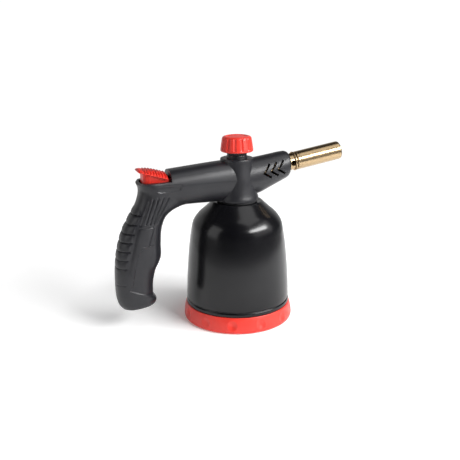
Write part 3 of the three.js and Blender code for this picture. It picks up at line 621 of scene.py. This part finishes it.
def base_piece():
    """The screw-on base: a shallow cup with round finger dimples and slots in its floor."""
    profile = [
        (0, 0), (36, 0), (BASE_SIDE, 0, 0.4), (51.9, 0.5, 0.9), (52.5, 2.2, 1), (52.3, 5), (51.95, 8),
        (51.4, 11), (50.8, 13.6), (50.35, 15.1, 0.5), (49.8, 15.5, 0.3), (48.9, 15.1, 0.2), (48.9, 6),
        (47.9, 3.2), (46.5, 2.5), (0, 2.5),
    ]

    def dimpled(radius, height, angles):
        radii = np.full(angles.shape, radius)
        if radius < BASE_SIDE:
            return radii
        for k in range(DIMPLE_COUNT):
            centre = DIMPLE_FIRST + 2 * math.pi * k / DIMPLE_COUNT
            turn = (angles - centre + math.pi) % (2 * math.pi) - math.pi
            away = np.hypot(turn * radius, height - DIMPLE_HEIGHT) / DIMPLE_RADIUS
            bowl = np.where(away < 1, (1 - away ** 2) ** 2, 0)
            lip = DIMPLE_LIP * np.exp(-((away - DIMPLE_LIP_PLACE) / DIMPLE_LIP_WIDTH) ** 2)
            radii = radii - DIMPLE_DEPTH * bowl + lip
        return radii

    base = turned("base", refined(rounded(profile), 0.7), 540, shape=dimpled)
    for k in range(BASE_SLOT_COUNT):
        slot = box("slot", (22, -2.5, -1), (36, 2.5, 4))
        slot.data.transform(Matrix.Rotation(2 * math.pi * k / BASE_SLOT_COUNT, 4, "Z"))
        combine(base, slot, "DIFFERENCE")
    return base


KNOB_FLUTE_FIRST = math.radians(12)
KNOB_FLUTE_DEPTH = 0.85
KNOB_FLUTE_SPREAD = 1.5 # half width of a flute in radians, times their number
KNOB_FLUTE_LOW, KNOB_FLUTE_HIGH = 163.2, 175.6
KNOB_SIDE = 12.5 # the fluted side lies outside this radius


def knob_piece():
    """The gas knob: a cap with a hub for the spindle inside, and flutes round its side."""
    profile = [
        (0, 173.2), (2.3, 173.2), (2.3, 165.2), (5, 165.2), (5, 169), (10.2, 169), (10.2, 162.1, 0.2),
        (14.7, 162, 0.4), (15.3, 162.7, 0.4), (15.2, 164.4), (14.6, 168.6), (13.9, 173.4),
        (13.6, 174.7, 0.7), (12.9, 175.6, 0.6), (10.9, 176.2, 0.5), (9.6, 175.9, 0.4),
        (9, 175.5, 0.4), (5, 175.8), (0, 176),
    ]

    def fluted(radius, height, angles):
        if radius < KNOB_SIDE:
            return np.full(angles.shape, radius)
        window = ease((height - KNOB_FLUTE_LOW) / 1.2) * ease((KNOB_FLUTE_HIGH - height) / 1.6)
        pitch = 2 * math.pi / KNOB_FLUTES
        turn = (angles - KNOB_FLUTE_FIRST + pitch / 2) % pitch - pitch / 2
        across = np.abs(turn) * KNOB_FLUTES / KNOB_FLUTE_SPREAD
        hollow = np.where(across < 1, (1 - across ** 2) ** 1.2, 0)
        return radius - KNOB_FLUTE_DEPTH * hollow * window

    return turned("knob", refined(rounded(profile), 0.55), 420, shape=fluted)


def collar_piece():
    """The black collar that guides the spindle under the knob."""
    profile = [
        (2.6, 154.2), (9, 154.2, 0.2), (STEM_RADIUS, 154.8, 0.3), (STEM_RADIUS, 158.2, 0.2),
        (9.1, 158.6, 0.2), (9.1, 159.4, 0.2), (STEM_RADIUS, 159.8, 0.2), (STEM_RADIUS, 163.4, 0.3),
        (9, 164, 0.2), (2.6, 164),
    ]
    return turned("collar", rounded(profile), 96, closed_ring=True)


def washer_piece():
    """The rubber washer between the casing and the foot of the column."""
    profile = [(10.8, 114.6), (18.7, 114.6, 0.3), (19.1, 115.3, 0.4), (18.7, 116.1, 0.3), (10.8, 116.1)]
    return turned("washer", rounded(profile), 96, closed_ring=True)


# ---- Burner --------------------------------------------------------------------------------------
AIR_HOLE_RADIUS, AIR_HOLE_PLACE = 2.75, 55.4
PASSAGE_RADIUS, PASSAGE_SLOPE = 1.8, math.radians(14)
PASSAGE_END = (4, 62) # away from the burner's axis, along it


def neck_piece():
    """The burner's neck, with four air holes and a passage for the electrode's insulator."""
    profile = [
        (5, 19.4), (8.8, 19.4, 0.2), (8.8, 21.2, 0.2), (8, 21.2), (8, 59.4, 0.2), (7.2, 59.8), (7.2, 67),
        (6.2, 67), (6.2, 22), (5, 22),
    ]
    neck = turned("neck", rounded(profile), 96, closed_ring=True)
    for across in ("Y", "X"):
        hole = bore("air_hole", AIR_HOLE_RADIUS, -12, 12, 40)
        hole.data.transform(Matrix.Rotation(math.pi / 2, 4, across))
        hole.data.transform(Matrix.Translation((0, 0, AIR_HOLE_PLACE * MM)))
        combine(neck, hole, "DIFFERENCE")
    passage = bore("passage", PASSAGE_RADIUS, -40, 2, 24)
    end = Matrix.Translation((PASSAGE_END[0] * MM, 0, PASSAGE_END[1] * MM))
    passage.data.transform(end @ Matrix.Rotation(-PASSAGE_SLOPE, 4, "Y"))
    combine(neck, passage, "DIFFERENCE")
    return onto_burner_axis(neck)


def ferrule_piece():
    """The rounded ring between the neck and the tube."""
    profile = [(8.25, 57.4), (8.8, 57.4, 0.4), (9.35, 58.3, 0.6), (8.9, 59.3, 0.4), (8.25, 59.3)]
    return onto_burner_axis(turned("ferrule", rounded(profile, 6), 112, closed_ring=True))


def tube_piece():
    """The burner's tube, with a fine groove near its rear and a rolled front edge."""
    profile = [
        (7.5, 60.3), (8.5, 60.3, 0.2), (8.78, 60.9, 0.3), (8.78, 62.4, 0.2), (8.6, 62.7, 0.15),
        (8.6, 63, 0.15), (8.75, 63.3, 0.2), (8.75, 105.4, 0.5), (8.3, 106.4, 0.4), (7.8, 106.6, 0.2),
        (7.5, 106.3, 0.2), (7.5, 84),
    ]
    return onto_burner_axis(turned("tube", refined(rounded(profile), 4), 112, closed_ring=True))


# ---- Thumb lever ---------------------------------------------------------------------------------
# the pad's ridge and underside in the middle plane, (x, z) from the rear to the front
LEVER_TOP = [(-95.4, 150.8), (-94.6, 151.7), (-92.1, 152.3), (-88.5, 152.5), (-83.9, 152.1),
             (-80.3, 151.3), (-75.3, 149.9), (-72.1, 148.9), (-70.1, 148.1), (-68.9, 146.6)]
LEVER_FOOT = [(-95.4, 150.4), (-94.6, 149.8), (-92.1, 149.3), (-88.5, 148.5), (-83.9, 147.2),
              (-80.3, 146.1), (-75.3, 144.4), (-72.1, 143.4), (-70.1, 142.8), (-68.9, 142.9)]
PAD_HALF = 12.5
PAD_REAR_ROUND, PAD_REAR_SHARE = 8.5, 0.64 # length of the rounding in plan, share of the width it takes
PAD_FRONT_ROUND, PAD_FRONT_SHARE = 2.2, 0.14
PAD_THICKNESS = 0.5 # the least, along the pad's edges
PAD_DROP_REAR, PAD_DROP_GAIN = 2.6, 1.4 # how far the sides lie below the ridge, and how much more in front
BELLY_SHARE = 0.04 # the share of that drop which the underside follows
EDGE_BAND, EDGE_DROP = 0.1, 0.9 # the rounded rim: share of the half width, and how far it drops
RIB_COUNT = 8
RIB_PITCH = 2.6
RIB_FRONT = -70.6
RIB_DEPTH = 1.25


def lever_pad():
    """The ribbed thumb pad, as a loft of sections across the lever."""
    rows, columns = 190, 61
    top, foot = np.array(LEVER_TOP), np.array(LEVER_FOOT)
    xs = np.linspace(top[0, 0], top[-1, 0], rows)
    ridge, under = height_curve(top, xs), height_curve(foot, xs)
    across = np.linspace(-1, 1, columns)
    crosswise = np.sign(across) * (1 - (1 - np.abs(across)) ** 1.35)
    from_rear = np.clip((xs - xs[0]) / PAD_REAR_ROUND, 0, 1)
    from_front = np.clip((xs[-1] - xs) / PAD_FRONT_ROUND, 0, 1)
    rear = 1 - PAD_REAR_SHARE + PAD_REAR_SHARE * np.sqrt(1 - (1 - from_rear) ** 2)
    front = 1 - PAD_FRONT_SHARE + PAD_FRONT_SHARE * np.sqrt(1 - (1 - from_front) ** 2)
    half = PAD_HALF * rear * front
    loops = []
    for x, high, low, w in zip(xs, ridge, under, half):
        y = crosswise * w
        forward = ease((x + 95) / 22)
        drop = (PAD_DROP_REAR + PAD_DROP_GAIN * forward) * (np.abs(y) / PAD_HALF) ** 2
        place = (x - RIB_FRONT) / RIB_PITCH + RIB_COUNT
        in_ribs = 1.0 if 0 < place < RIB_COUNT + 0.3 else 0.0
        wave = (0.5 - 0.5 * math.cos(2 * math.pi * place)) ** 0.8
        fade = ease((1 - np.abs(crosswise)) / 0.05)
        crown = high - drop - RIB_DEPTH * in_ribs * wave * fade
        edge = np.clip((np.abs(crosswise) - (1 - EDGE_BAND)) / EDGE_BAND, 0, 1)
        crown = crown - EDGE_DROP * (1 - np.sqrt(1 - edge ** 2))
        belly = np.full(columns, low) - BELLY_SHARE * drop * (1 - edge) + 0.5 * edge
        crown = np.maximum(crown, belly + PAD_THICKNESS)
        upper = np.stack([np.full(columns, x), y, crown], -1)
        lower = np.stack([np.full(columns, x), y, belly], -1)
        loops.append(np.concatenate([upper, lower[::-1]]))
    return skin("lever", loops)


def lever_piece():
    """The thumb lever: the pad, the skirt under it, two tabs on the pin, and the stalk for the plunger."""
    pad = lever_pad()
    outline = [(-90.6, 149.4), (-90.6, 137.4), (-90, 136.8), (-88.4, 136.3), (-70, 138.4), (-67.6, 139),
               (-67.6, 143), (-72, 144.2), (-80, 146.6)]
    skirt = prism("skirt", outline, -12, 12)
    combine(skirt, plate("plan", LEVER_PLAN, 130, 152), "INTERSECT")
    bevel(skirt, 0.45)
    combine(pad, skirt, "UNION")
    for low, high in ((-9, -6), (6, 9)):
        tab = prism("tab", [(-69, 137.4), (PIVOT[0], 137.4), (PIVOT[0], 142.6), (-69, 142.6)], low, high)
        combine(pad, tab, "UNION")
        combine(pad, cross_rod("eye", 2.6, PIVOT, low, high), "UNION")
    combine(pad, cross_rod("pin_hole", PIVOT_HOLE, PIVOT, -14, 14), "DIFFERENCE")
    combine(pad, box("stalk", (-88, -3, 134.7), (-84, 3, 139)), "UNION")
    combine(pad, cross_rod("nub", 2, (-86, 134.7), -3, 3), "UNION")
    return pad


def spring_piece():
    """The igniter's return spring, wound round its plunger."""
    wire, turns, radius, sides = 0.4, 4, 4.2, 12
    low, high = SPRING_LOW + wire, SPRING_HIGH - wire
    around = 2 * math.pi * np.arange(sides) / sides
    rings = []
    for t in np.linspace(0, 1, 24 * turns + 1):
        angle = 2 * math.pi * turns * t
        outwards = np.array([math.cos(angle), math.sin(angle), 0])
        middle = radius * outwards + np.array([PLUNGER_X, 0, low + (high - low) * t])
        ring = np.outer(np.cos(around), outwards) + np.outer(np.sin(around), (0, 0, 1))
        rings.append(middle + wire * ring)
    return skin("spring", rings)


def screw_piece(k, place):
    """A case screw with a cross recess, its head to the left side (+Y)."""
    seat = SCREW_SEAT + GAP
    profile = [(0, -10.5), (0.9, -10.5), (1.35, -9.5), (1.35, seat), (3, seat, 0.2), (3, seat + 1.2, 0.4),
               (2.2, seat + 2, 0.4), (0, seat + 2)]
    screw = turned(f"screw_{k}", rounded(profile), 40)
    for turn in range(2):
        blade = box("blade", (-1.9, -0.38, seat + 0.9), (1.9, 0.38, seat + 4))
        blade.data.transform(Matrix.Rotation(math.radians(20 + 90 * turn + 31 * k), 4, "Z"))
        combine(screw, blade, "DIFFERENCE")
    home = Matrix.Translation((place[0] * MM, 0, place[1] * MM))
    screw.data.transform(home @ Matrix.Rotation(-math.pi / 2, 4, "X"))
    return screw


# ---- Materials -----------------------------------------------------------------------------------
class Graph:
    """Small helper to build a node material."""

    def __init__(self, name):
        self.material = bpy.data.materials.new(name)
        self.material.use_nodes = True
        self.nodes = self.material.node_tree.nodes
        self.links = self.material.node_tree.links
        self.shader = self.nodes["Principled BSDF"]
        self.place = self.nodes.new("ShaderNodeTexCoord").outputs["Object"]

    def set(self, **values):
        for key, value in values.items():
            self.shader.inputs[key.replace("_", " ")].default_value = value

    def mapped(self, vector, key, value):
        """A vector turned ("Rotation") or stretched ("Scale")."""
        node = self.nodes.new("ShaderNodeMapping")
        node.inputs[key].default_value = value
        self.links.new(vector, node.inputs["Vector"])
        return node.outputs["Vector"]

    def noise(self, scale, detail, vector=None):
        node = self.nodes.new("ShaderNodeTexNoise")
        node.inputs["Scale"].default_value = scale
        node.inputs["Detail"].default_value = detail
        self.links.new(vector if vector is not None else self.place, node.inputs["Vector"])
        return node.outputs["Fac"]

    def ramp(self, value, stops):
        node = self.nodes.new("ShaderNodeValToRGB")
        ramp = node.color_ramp
        while len(ramp.elements) < len(stops):
            ramp.elements.new(0.5)
        for element, (place, colour) in zip(ramp.elements, stops):
            element.position = place
            element.color = (*colour, 1)
        self.links.new(value, node.inputs["Fac"])
        return node.outputs["Color"]

    def range(self, value, low, high, start=0.0, end=1.0):
        """Low where the value is at the start, and high where it is at the end."""
        node = self.nodes.new("ShaderNodeMapRange")
        node.inputs["From Min"].default_value = start
        node.inputs["From Max"].default_value = end
        node.inputs["To Min"].default_value = low
        node.inputs["To Max"].default_value = high
        self.links.new(value, node.inputs["Value"])
        return node.outputs["Result"]

    def colour(self, value, stops):
        self.links.new(self.ramp(value, stops), self.shader.inputs["Base Color"])

    def rough(self, value, low, high):
        self.links.new(self.range(value, low, high), self.shader.inputs["Roughness"])

    def bump(self, value, strength, distance):
        node = self.nodes.new("ShaderNodeBump")
        node.inputs["Strength"].default_value = strength
        node.inputs["Distance"].default_value = distance
        self.links.new(value, node.inputs["Height"])
        self.links.new(node.outputs["Normal"], self.shader.inputs["Normal"])


def shell_material():
    """Matt black moulding with a fine grain."""
    g = Graph("shell_plastic")
    g.set(IOR=1.47)
    g.colour(g.noise(90, 4), [(0.3, (0.009, 0.009, 0.0115)), (0.7, (0.013, 0.013, 0.016))])
    g.rough(g.noise(160, 3), 0.37, 0.43)
    g.bump(g.noise(2600, 2), 0.14, 0.0001)
    return g.material


def enamel_material():
    """Gloss black paint on the casing."""
    g = Graph("black_enamel")
    g.set(IOR=1.4)
    g.colour(g.noise(40, 2), [(0.35, (0.003, 0.003, 0.004)), (0.65, (0.005, 0.005, 0.006))])
    g.rough(g.noise(70, 3), 0.18, 0.23)
    g.bump(g.noise(420, 2), 0.05, 0.0002)
    return g.material


def red_material():
    """Satin red moulding."""
    g = Graph("red_plastic")
    g.colour(g.noise(60, 3), [(0.3, (0.67, 0.030, 0.018)), (0.7, (0.72, 0.036, 0.023))])
    g.rough(g.noise(120, 3), 0.34, 0.42)
    g.bump(g.noise(1800, 2), 0.08, 0.0001)
    return g.material


def brass_material(name, base, dark):
    """Brass turned on a lathe: its highlights are drawn out along the burner's axis."""
    g = Graph(name)
    g.set(Metallic=1.0, Anisotropic=0.8)
    axis = g.nodes.new("ShaderNodeCombineXYZ")
    axis.inputs["X"].default_value = math.cos(BURNER_PITCH)
    axis.inputs["Z"].default_value = math.sin(BURNER_PITCH)
    g.links.new(axis.outputs["Vector"], g.shader.inputs["Tangent"])
    upright = g.mapped(g.place, "Rotation", (0, BURNER_PITCH - math.pi / 2, 0))
    streak = g.noise(1.0, 2, g.mapped(upright, "Scale", (8, 8, 500)))
    g.colour(streak, [(0.25, dark), (0.75, base)])
    g.rough(g.noise(40, 2), 0.32, 0.36)
    return g.material


def metal_material(name, base, dark, low, high):
    """Plain metal. Low and high are the ends of its roughness."""
    g = Graph(name)
    g.set(Metallic=1.0)
    g.colour(g.noise(120, 3), [(0.3, dark), (0.7, base)])
    g.rough(g.noise(260, 3), low, high)
    g.bump(g.noise(1500, 2), 0.08, 0.00008)
    return g.material


def plain_material(name, base, low, high, grain=1400):
    """Plastic, rubber, paint or ceramic. Low and high are the ends of its roughness."""
    g = Graph(name)
    darker = tuple(0.86 * c for c in base)
    g.colour(g.noise(110, 3), [(0.3, darker), (0.7, base)])
    g.rough(g.noise(180, 3), low, high)
    g.bump(g.noise(grain, 2), 0.1, 0.0001)
    return g.material


def wear(obj, material):
    """Gives an object one material."""
    obj.data.materials.clear()
    obj.data.materials.append(material)


def finish_piece(obj, material, body, nodes, angle=28):
    """Gives a piece its shading, material and body, and hides the CAD nodes that it stands for."""
    smooth(obj, angle)
    wear(obj, material)
    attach(obj, body)
    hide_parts(*nodes)


# ---- Studio --------------------------------------------------------------------------------------
SENSOR, LENS = 36.0, 53.7652
CAMERA_DISTANCE = 660.0
CAMERA_ELEVATION = math.radians(16.8)
CAMERA_AZIMUTH = math.radians(-19.0)
CAMERA_ROLL = math.radians(-0.45)
AIM = Vector((-6.5, 2.3, 85.4))
LAMP_AIM = Vector((0, 0, 0.09)) # metres, as are the sizes and distances of the lamps
WORLD_SEEN = 1.05 # strength of the white that the camera sees
WORLD_DARK, WORLD_BEHIND, WORLD_BELOW = 0.03, 0.7, 0.4 # strengths around the torch
FLOOR_RADIUS, FLOOR_DROP = 430.0, 0.2
# the floor's glow: low near the torch as a painted shade round the base, higher further out
FLOOR_PAINTED_SHADE, FLOOR_GLOW = 0.15, 0.5
GLOW_START, GLOW_END = 0.06, 0.18 # metres from the torch's axis
SOFTBOXES = [ # name, azimuth, elevation, distance, (width, height), radiance
    ("key", 50, 25, 1.1, (1.2, 0.85), 1.2),
    ("key_core", 41, 31, 1.08, (0.90, 0.26), 25),
    ("left", -84, 21, 1.2, (0.75, 0.9), 1.6),
    ("overhead", 50, 68, 1.3, (0.9, 0.7), 1.9),
]


def add_camera():
    """The camera, at the torch's right side, a little above it and towards the grip."""
    data = bpy.data.cameras.new("camera")
    data.sensor_width = SENSOR
    data.lens = LENS
    data.clip_start, data.clip_end = 0.01, 50
    camera = bpy.data.objects.new("camera", data)
    back = Vector((math.sin(CAMERA_AZIMUTH) * math.cos(CAMERA_ELEVATION),
                   -math.cos(CAMERA_AZIMUTH) * math.cos(CAMERA_ELEVATION), math.sin(CAMERA_ELEVATION)))
    camera.location = (AIM + back * CAMERA_DISTANCE) * MM
    turn = (-back).to_track_quat("-Z", "Y").to_matrix().to_4x4() @ Matrix.Rotation(CAMERA_ROLL, 4, "Z")
    camera.rotation_euler = turn.to_euler()
    bpy.context.scene.collection.objects.link(camera)
    bpy.context.scene.camera = camera


def add_softbox(name, azimuth, elevation, distance, size, radiance):
    """A rectangular lamp. Azimuth 0 is in front of the torch's right side (-Y), 90 is towards +X."""
    a, e = math.radians(azimuth), math.radians(elevation)
    direction = Vector((math.sin(a) * math.cos(e), -math.cos(a) * math.cos(e), math.sin(e)))
    data = bpy.data.lights.new(name, "AREA")
    data.shape = "RECTANGLE"
    data.size, data.size_y = size
    data.energy = radiance * math.pi * size[0] * size[1]
    lamp = bpy.data.objects.new(name, data)
    lamp.location = LAMP_AIM + direction * distance
    lamp.rotation_euler = (-direction).to_track_quat("-Z", "Y").to_euler()
    bpy.context.scene.collection.objects.link(lamp)


def add_world():
    """White to the camera. Around the torch: dark in front and overhead, bright low down behind it,
    and half bright below the horizon."""
    world = bpy.data.worlds.new("studio")
    bpy.context.scene.world = world
    world.use_nodes = True
    nodes, links = world.node_tree.nodes, world.node_tree.links
    nodes.clear()
    coords = nodes.new("ShaderNodeTexCoord")
    split = nodes.new("ShaderNodeSeparateXYZ")
    links.new(coords.outputs["Generated"], split.inputs[0])

    def step(socket, start, end, low, high):
        node = nodes.new("ShaderNodeMapRange")
        node.interpolation_type = "SMOOTHSTEP"
        for key, value in (("From Min", start), ("From Max", end), ("To Min", low), ("To Max", high)):
            node.inputs[key].default_value = value
        links.new(socket, node.inputs["Value"])
        return node.outputs["Result"]

    behind = step(split.outputs["Y"], 0.3, 0.75, 0, WORLD_BEHIND)
    low_down = step(split.outputs["Z"], 0.3, 0.65, 1, 0.12)
    below = step(split.outputs["Z"], -0.01, -0.12, WORLD_DARK, WORLD_BELOW)
    product = nodes.new("ShaderNodeMath")
    product.operation = "MULTIPLY_ADD"
    links.new(behind, product.inputs[0])
    links.new(low_down, product.inputs[1])
    links.new(below, product.inputs[2])
    unseen = nodes.new("ShaderNodeBackground")
    links.new(product.outputs["Value"], unseen.inputs["Strength"])
    seen = nodes.new("ShaderNodeBackground")
    seen.inputs["Color"].default_value = (1, 1, 1, 1)
    seen.inputs["Strength"].default_value = WORLD_SEEN
    path = nodes.new("ShaderNodeLightPath")
    mix = nodes.new("ShaderNodeMixShader")
    links.new(path.outputs["Is Camera Ray"], mix.inputs["Fac"])
    links.new(unseen.outputs["Background"], mix.inputs[1])
    links.new(seen.outputs["Background"], mix.inputs[2])
    output = nodes.new("ShaderNodeOutputWorld")
    links.new(mix.outputs["Shader"], output.inputs["Surface"])


def add_floor():
    """White paper under the torch, glowing more away from it so that it fades into the white behind; the
    weaker glow near the torch is a painted shade round the base.
    """
    sides = 96
    ring = [(FLOOR_RADIUS * math.cos(a), FLOOR_RADIUS * math.sin(a), 0)
            for a in np.linspace(0, 2 * math.pi, sides, endpoint=False)]
    floor = new_object("floor", ring, [tuple(range(sides))])
    floor.location.z = -FLOOR_DROP * MM
    g = Graph("floor_paper")
    g.colour(g.noise(3, 2), [(0.3, (0.90, 0.90, 0.90)), (0.7, (0.91, 0.91, 0.91))])
    g.set(Roughness=0.9, Specular_IOR_Level=0.1, Emission_Color=(1, 1, 1, 1))
    radius = g.nodes.new("ShaderNodeVectorMath")
    radius.operation = "LENGTH"
    g.links.new(g.place, radius.inputs[0])
    # painted shade: the floor glows less near the torch, which darkens the paper round the base
    glow = g.range(radius.outputs["Value"], FLOOR_PAINTED_SHADE, FLOOR_GLOW, GLOW_START, GLOW_END)
    g.links.new(glow, g.shader.inputs["Emission Strength"])
    wear(floor, g.material)
    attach(floor, "base") # the torch always stands on its base, also when the base is unscrewed


# ---- Assembly ------------------------------------------------------------------------------------
add_camera()

SHELL = shell_material()
ENAMEL = enamel_material()
RED = red_material()
BURNER_BRASS = brass_material("burner_brass", (0.46, 0.34, 0.20), (0.44, 0.32, 0.185))
VALVE_BRASS = metal_material("valve_brass", (0.68, 0.50, 0.22), (0.58, 0.42, 0.18), 0.25, 0.38)
ZINC = metal_material("zinc_steel", (0.62, 0.63, 0.64), (0.50, 0.51, 0.52), 0.28, 0.42)
STEEL = metal_material("plain_steel", (0.55, 0.55, 0.56), (0.44, 0.44, 0.45), 0.2, 0.34)
CAN = plain_material("painted_can", (0.05, 0.16, 0.38), 0.28, 0.38, 700)
RUBBER = plain_material("black_rubber", (0.018, 0.018, 0.019), 0.6, 0.75)
BLACK = plain_material("black_plastic", (0.014, 0.014, 0.016), 0.3, 0.4)
WHITE = plain_material("white_plastic", (0.80, 0.78, 0.72), 0.4, 0.5)
CERAMIC = plain_material("ceramic", (0.86, 0.85, 0.80), 0.2, 0.3, 500)
LEAD = plain_material("wire_cover", (0.45, 0.03, 0.02), 0.45, 0.6)


right, left = shell_halves()
finish_piece(right, SHELL, "torch_body", ["body_shell_right"], 24)
finish_piece(left, SHELL, "torch_body", ["body_shell_left"], 24)
finish_piece(casing_piece(), ENAMEL, "torch_body", ["canister_casing"])
finish_piece(washer_piece(), RUBBER, "torch_body", ["neck_washer"])
finish_piece(collar_piece(), BLACK, "torch_body", ["spindle_guide"])
finish_piece(base_piece(), RED, "base", ["base_ring"])
finish_piece(knob_piece(), RED, "knob", ["gas_knob"], 35)
finish_piece(lever_piece(), RED, "lever", ["thumb_lever"], 35)
finish_piece(neck_piece(), BURNER_BRASS, "torch_body", ["burner_neck"])
finish_piece(ferrule_piece(), BURNER_BRASS, "torch_body", ["burner_ferrule"])
finish_piece(tube_piece(), BURNER_BRASS, "torch_body", ["burner_tube"])
for number, spot in enumerate(SCREW_PLACES, 1):
    finish_piece(screw_piece(number, spot), ZINC, "torch_body", [f"case_screw_{number}"])

spring = spring_piece()
finish_piece(spring, STEEL, "torch_body", ["plunger_spring"], 40)
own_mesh(spring)

KEPT = {
    "clamp_nut": VALVE_BRASS, "cartridge_tray": ZINC, "gas_cartridge": CAN, "valve_body": VALVE_BRASS,
    "piercing_needle": STEEL, "cartridge_seal": RUBBER, "gland_nut": VALVE_BRASS, "valve_spindle": STEEL,
    "spindle_ring": RUBBER, "injector_holder": VALVE_BRASS, "injector": VALVE_BRASS,
    "flame_holder": VALVE_BRASS, "electrode_insulator": CERAMIC, "spark_electrode": STEEL,
    "piezo_body": BLACK, "piezo_plunger": WHITE, "lever_pin": STEEL, "ignition_wire": LEAD,
}
for node, material in KEPT.items():
    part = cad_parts[node]
    smooth(part, 30)
    wear(part, material)

add_world()
for softbox in SOFTBOXES:
    add_softbox(*softbox)
add_floor()
bpy.context.scene.view_settings.view_transform = "Standard"
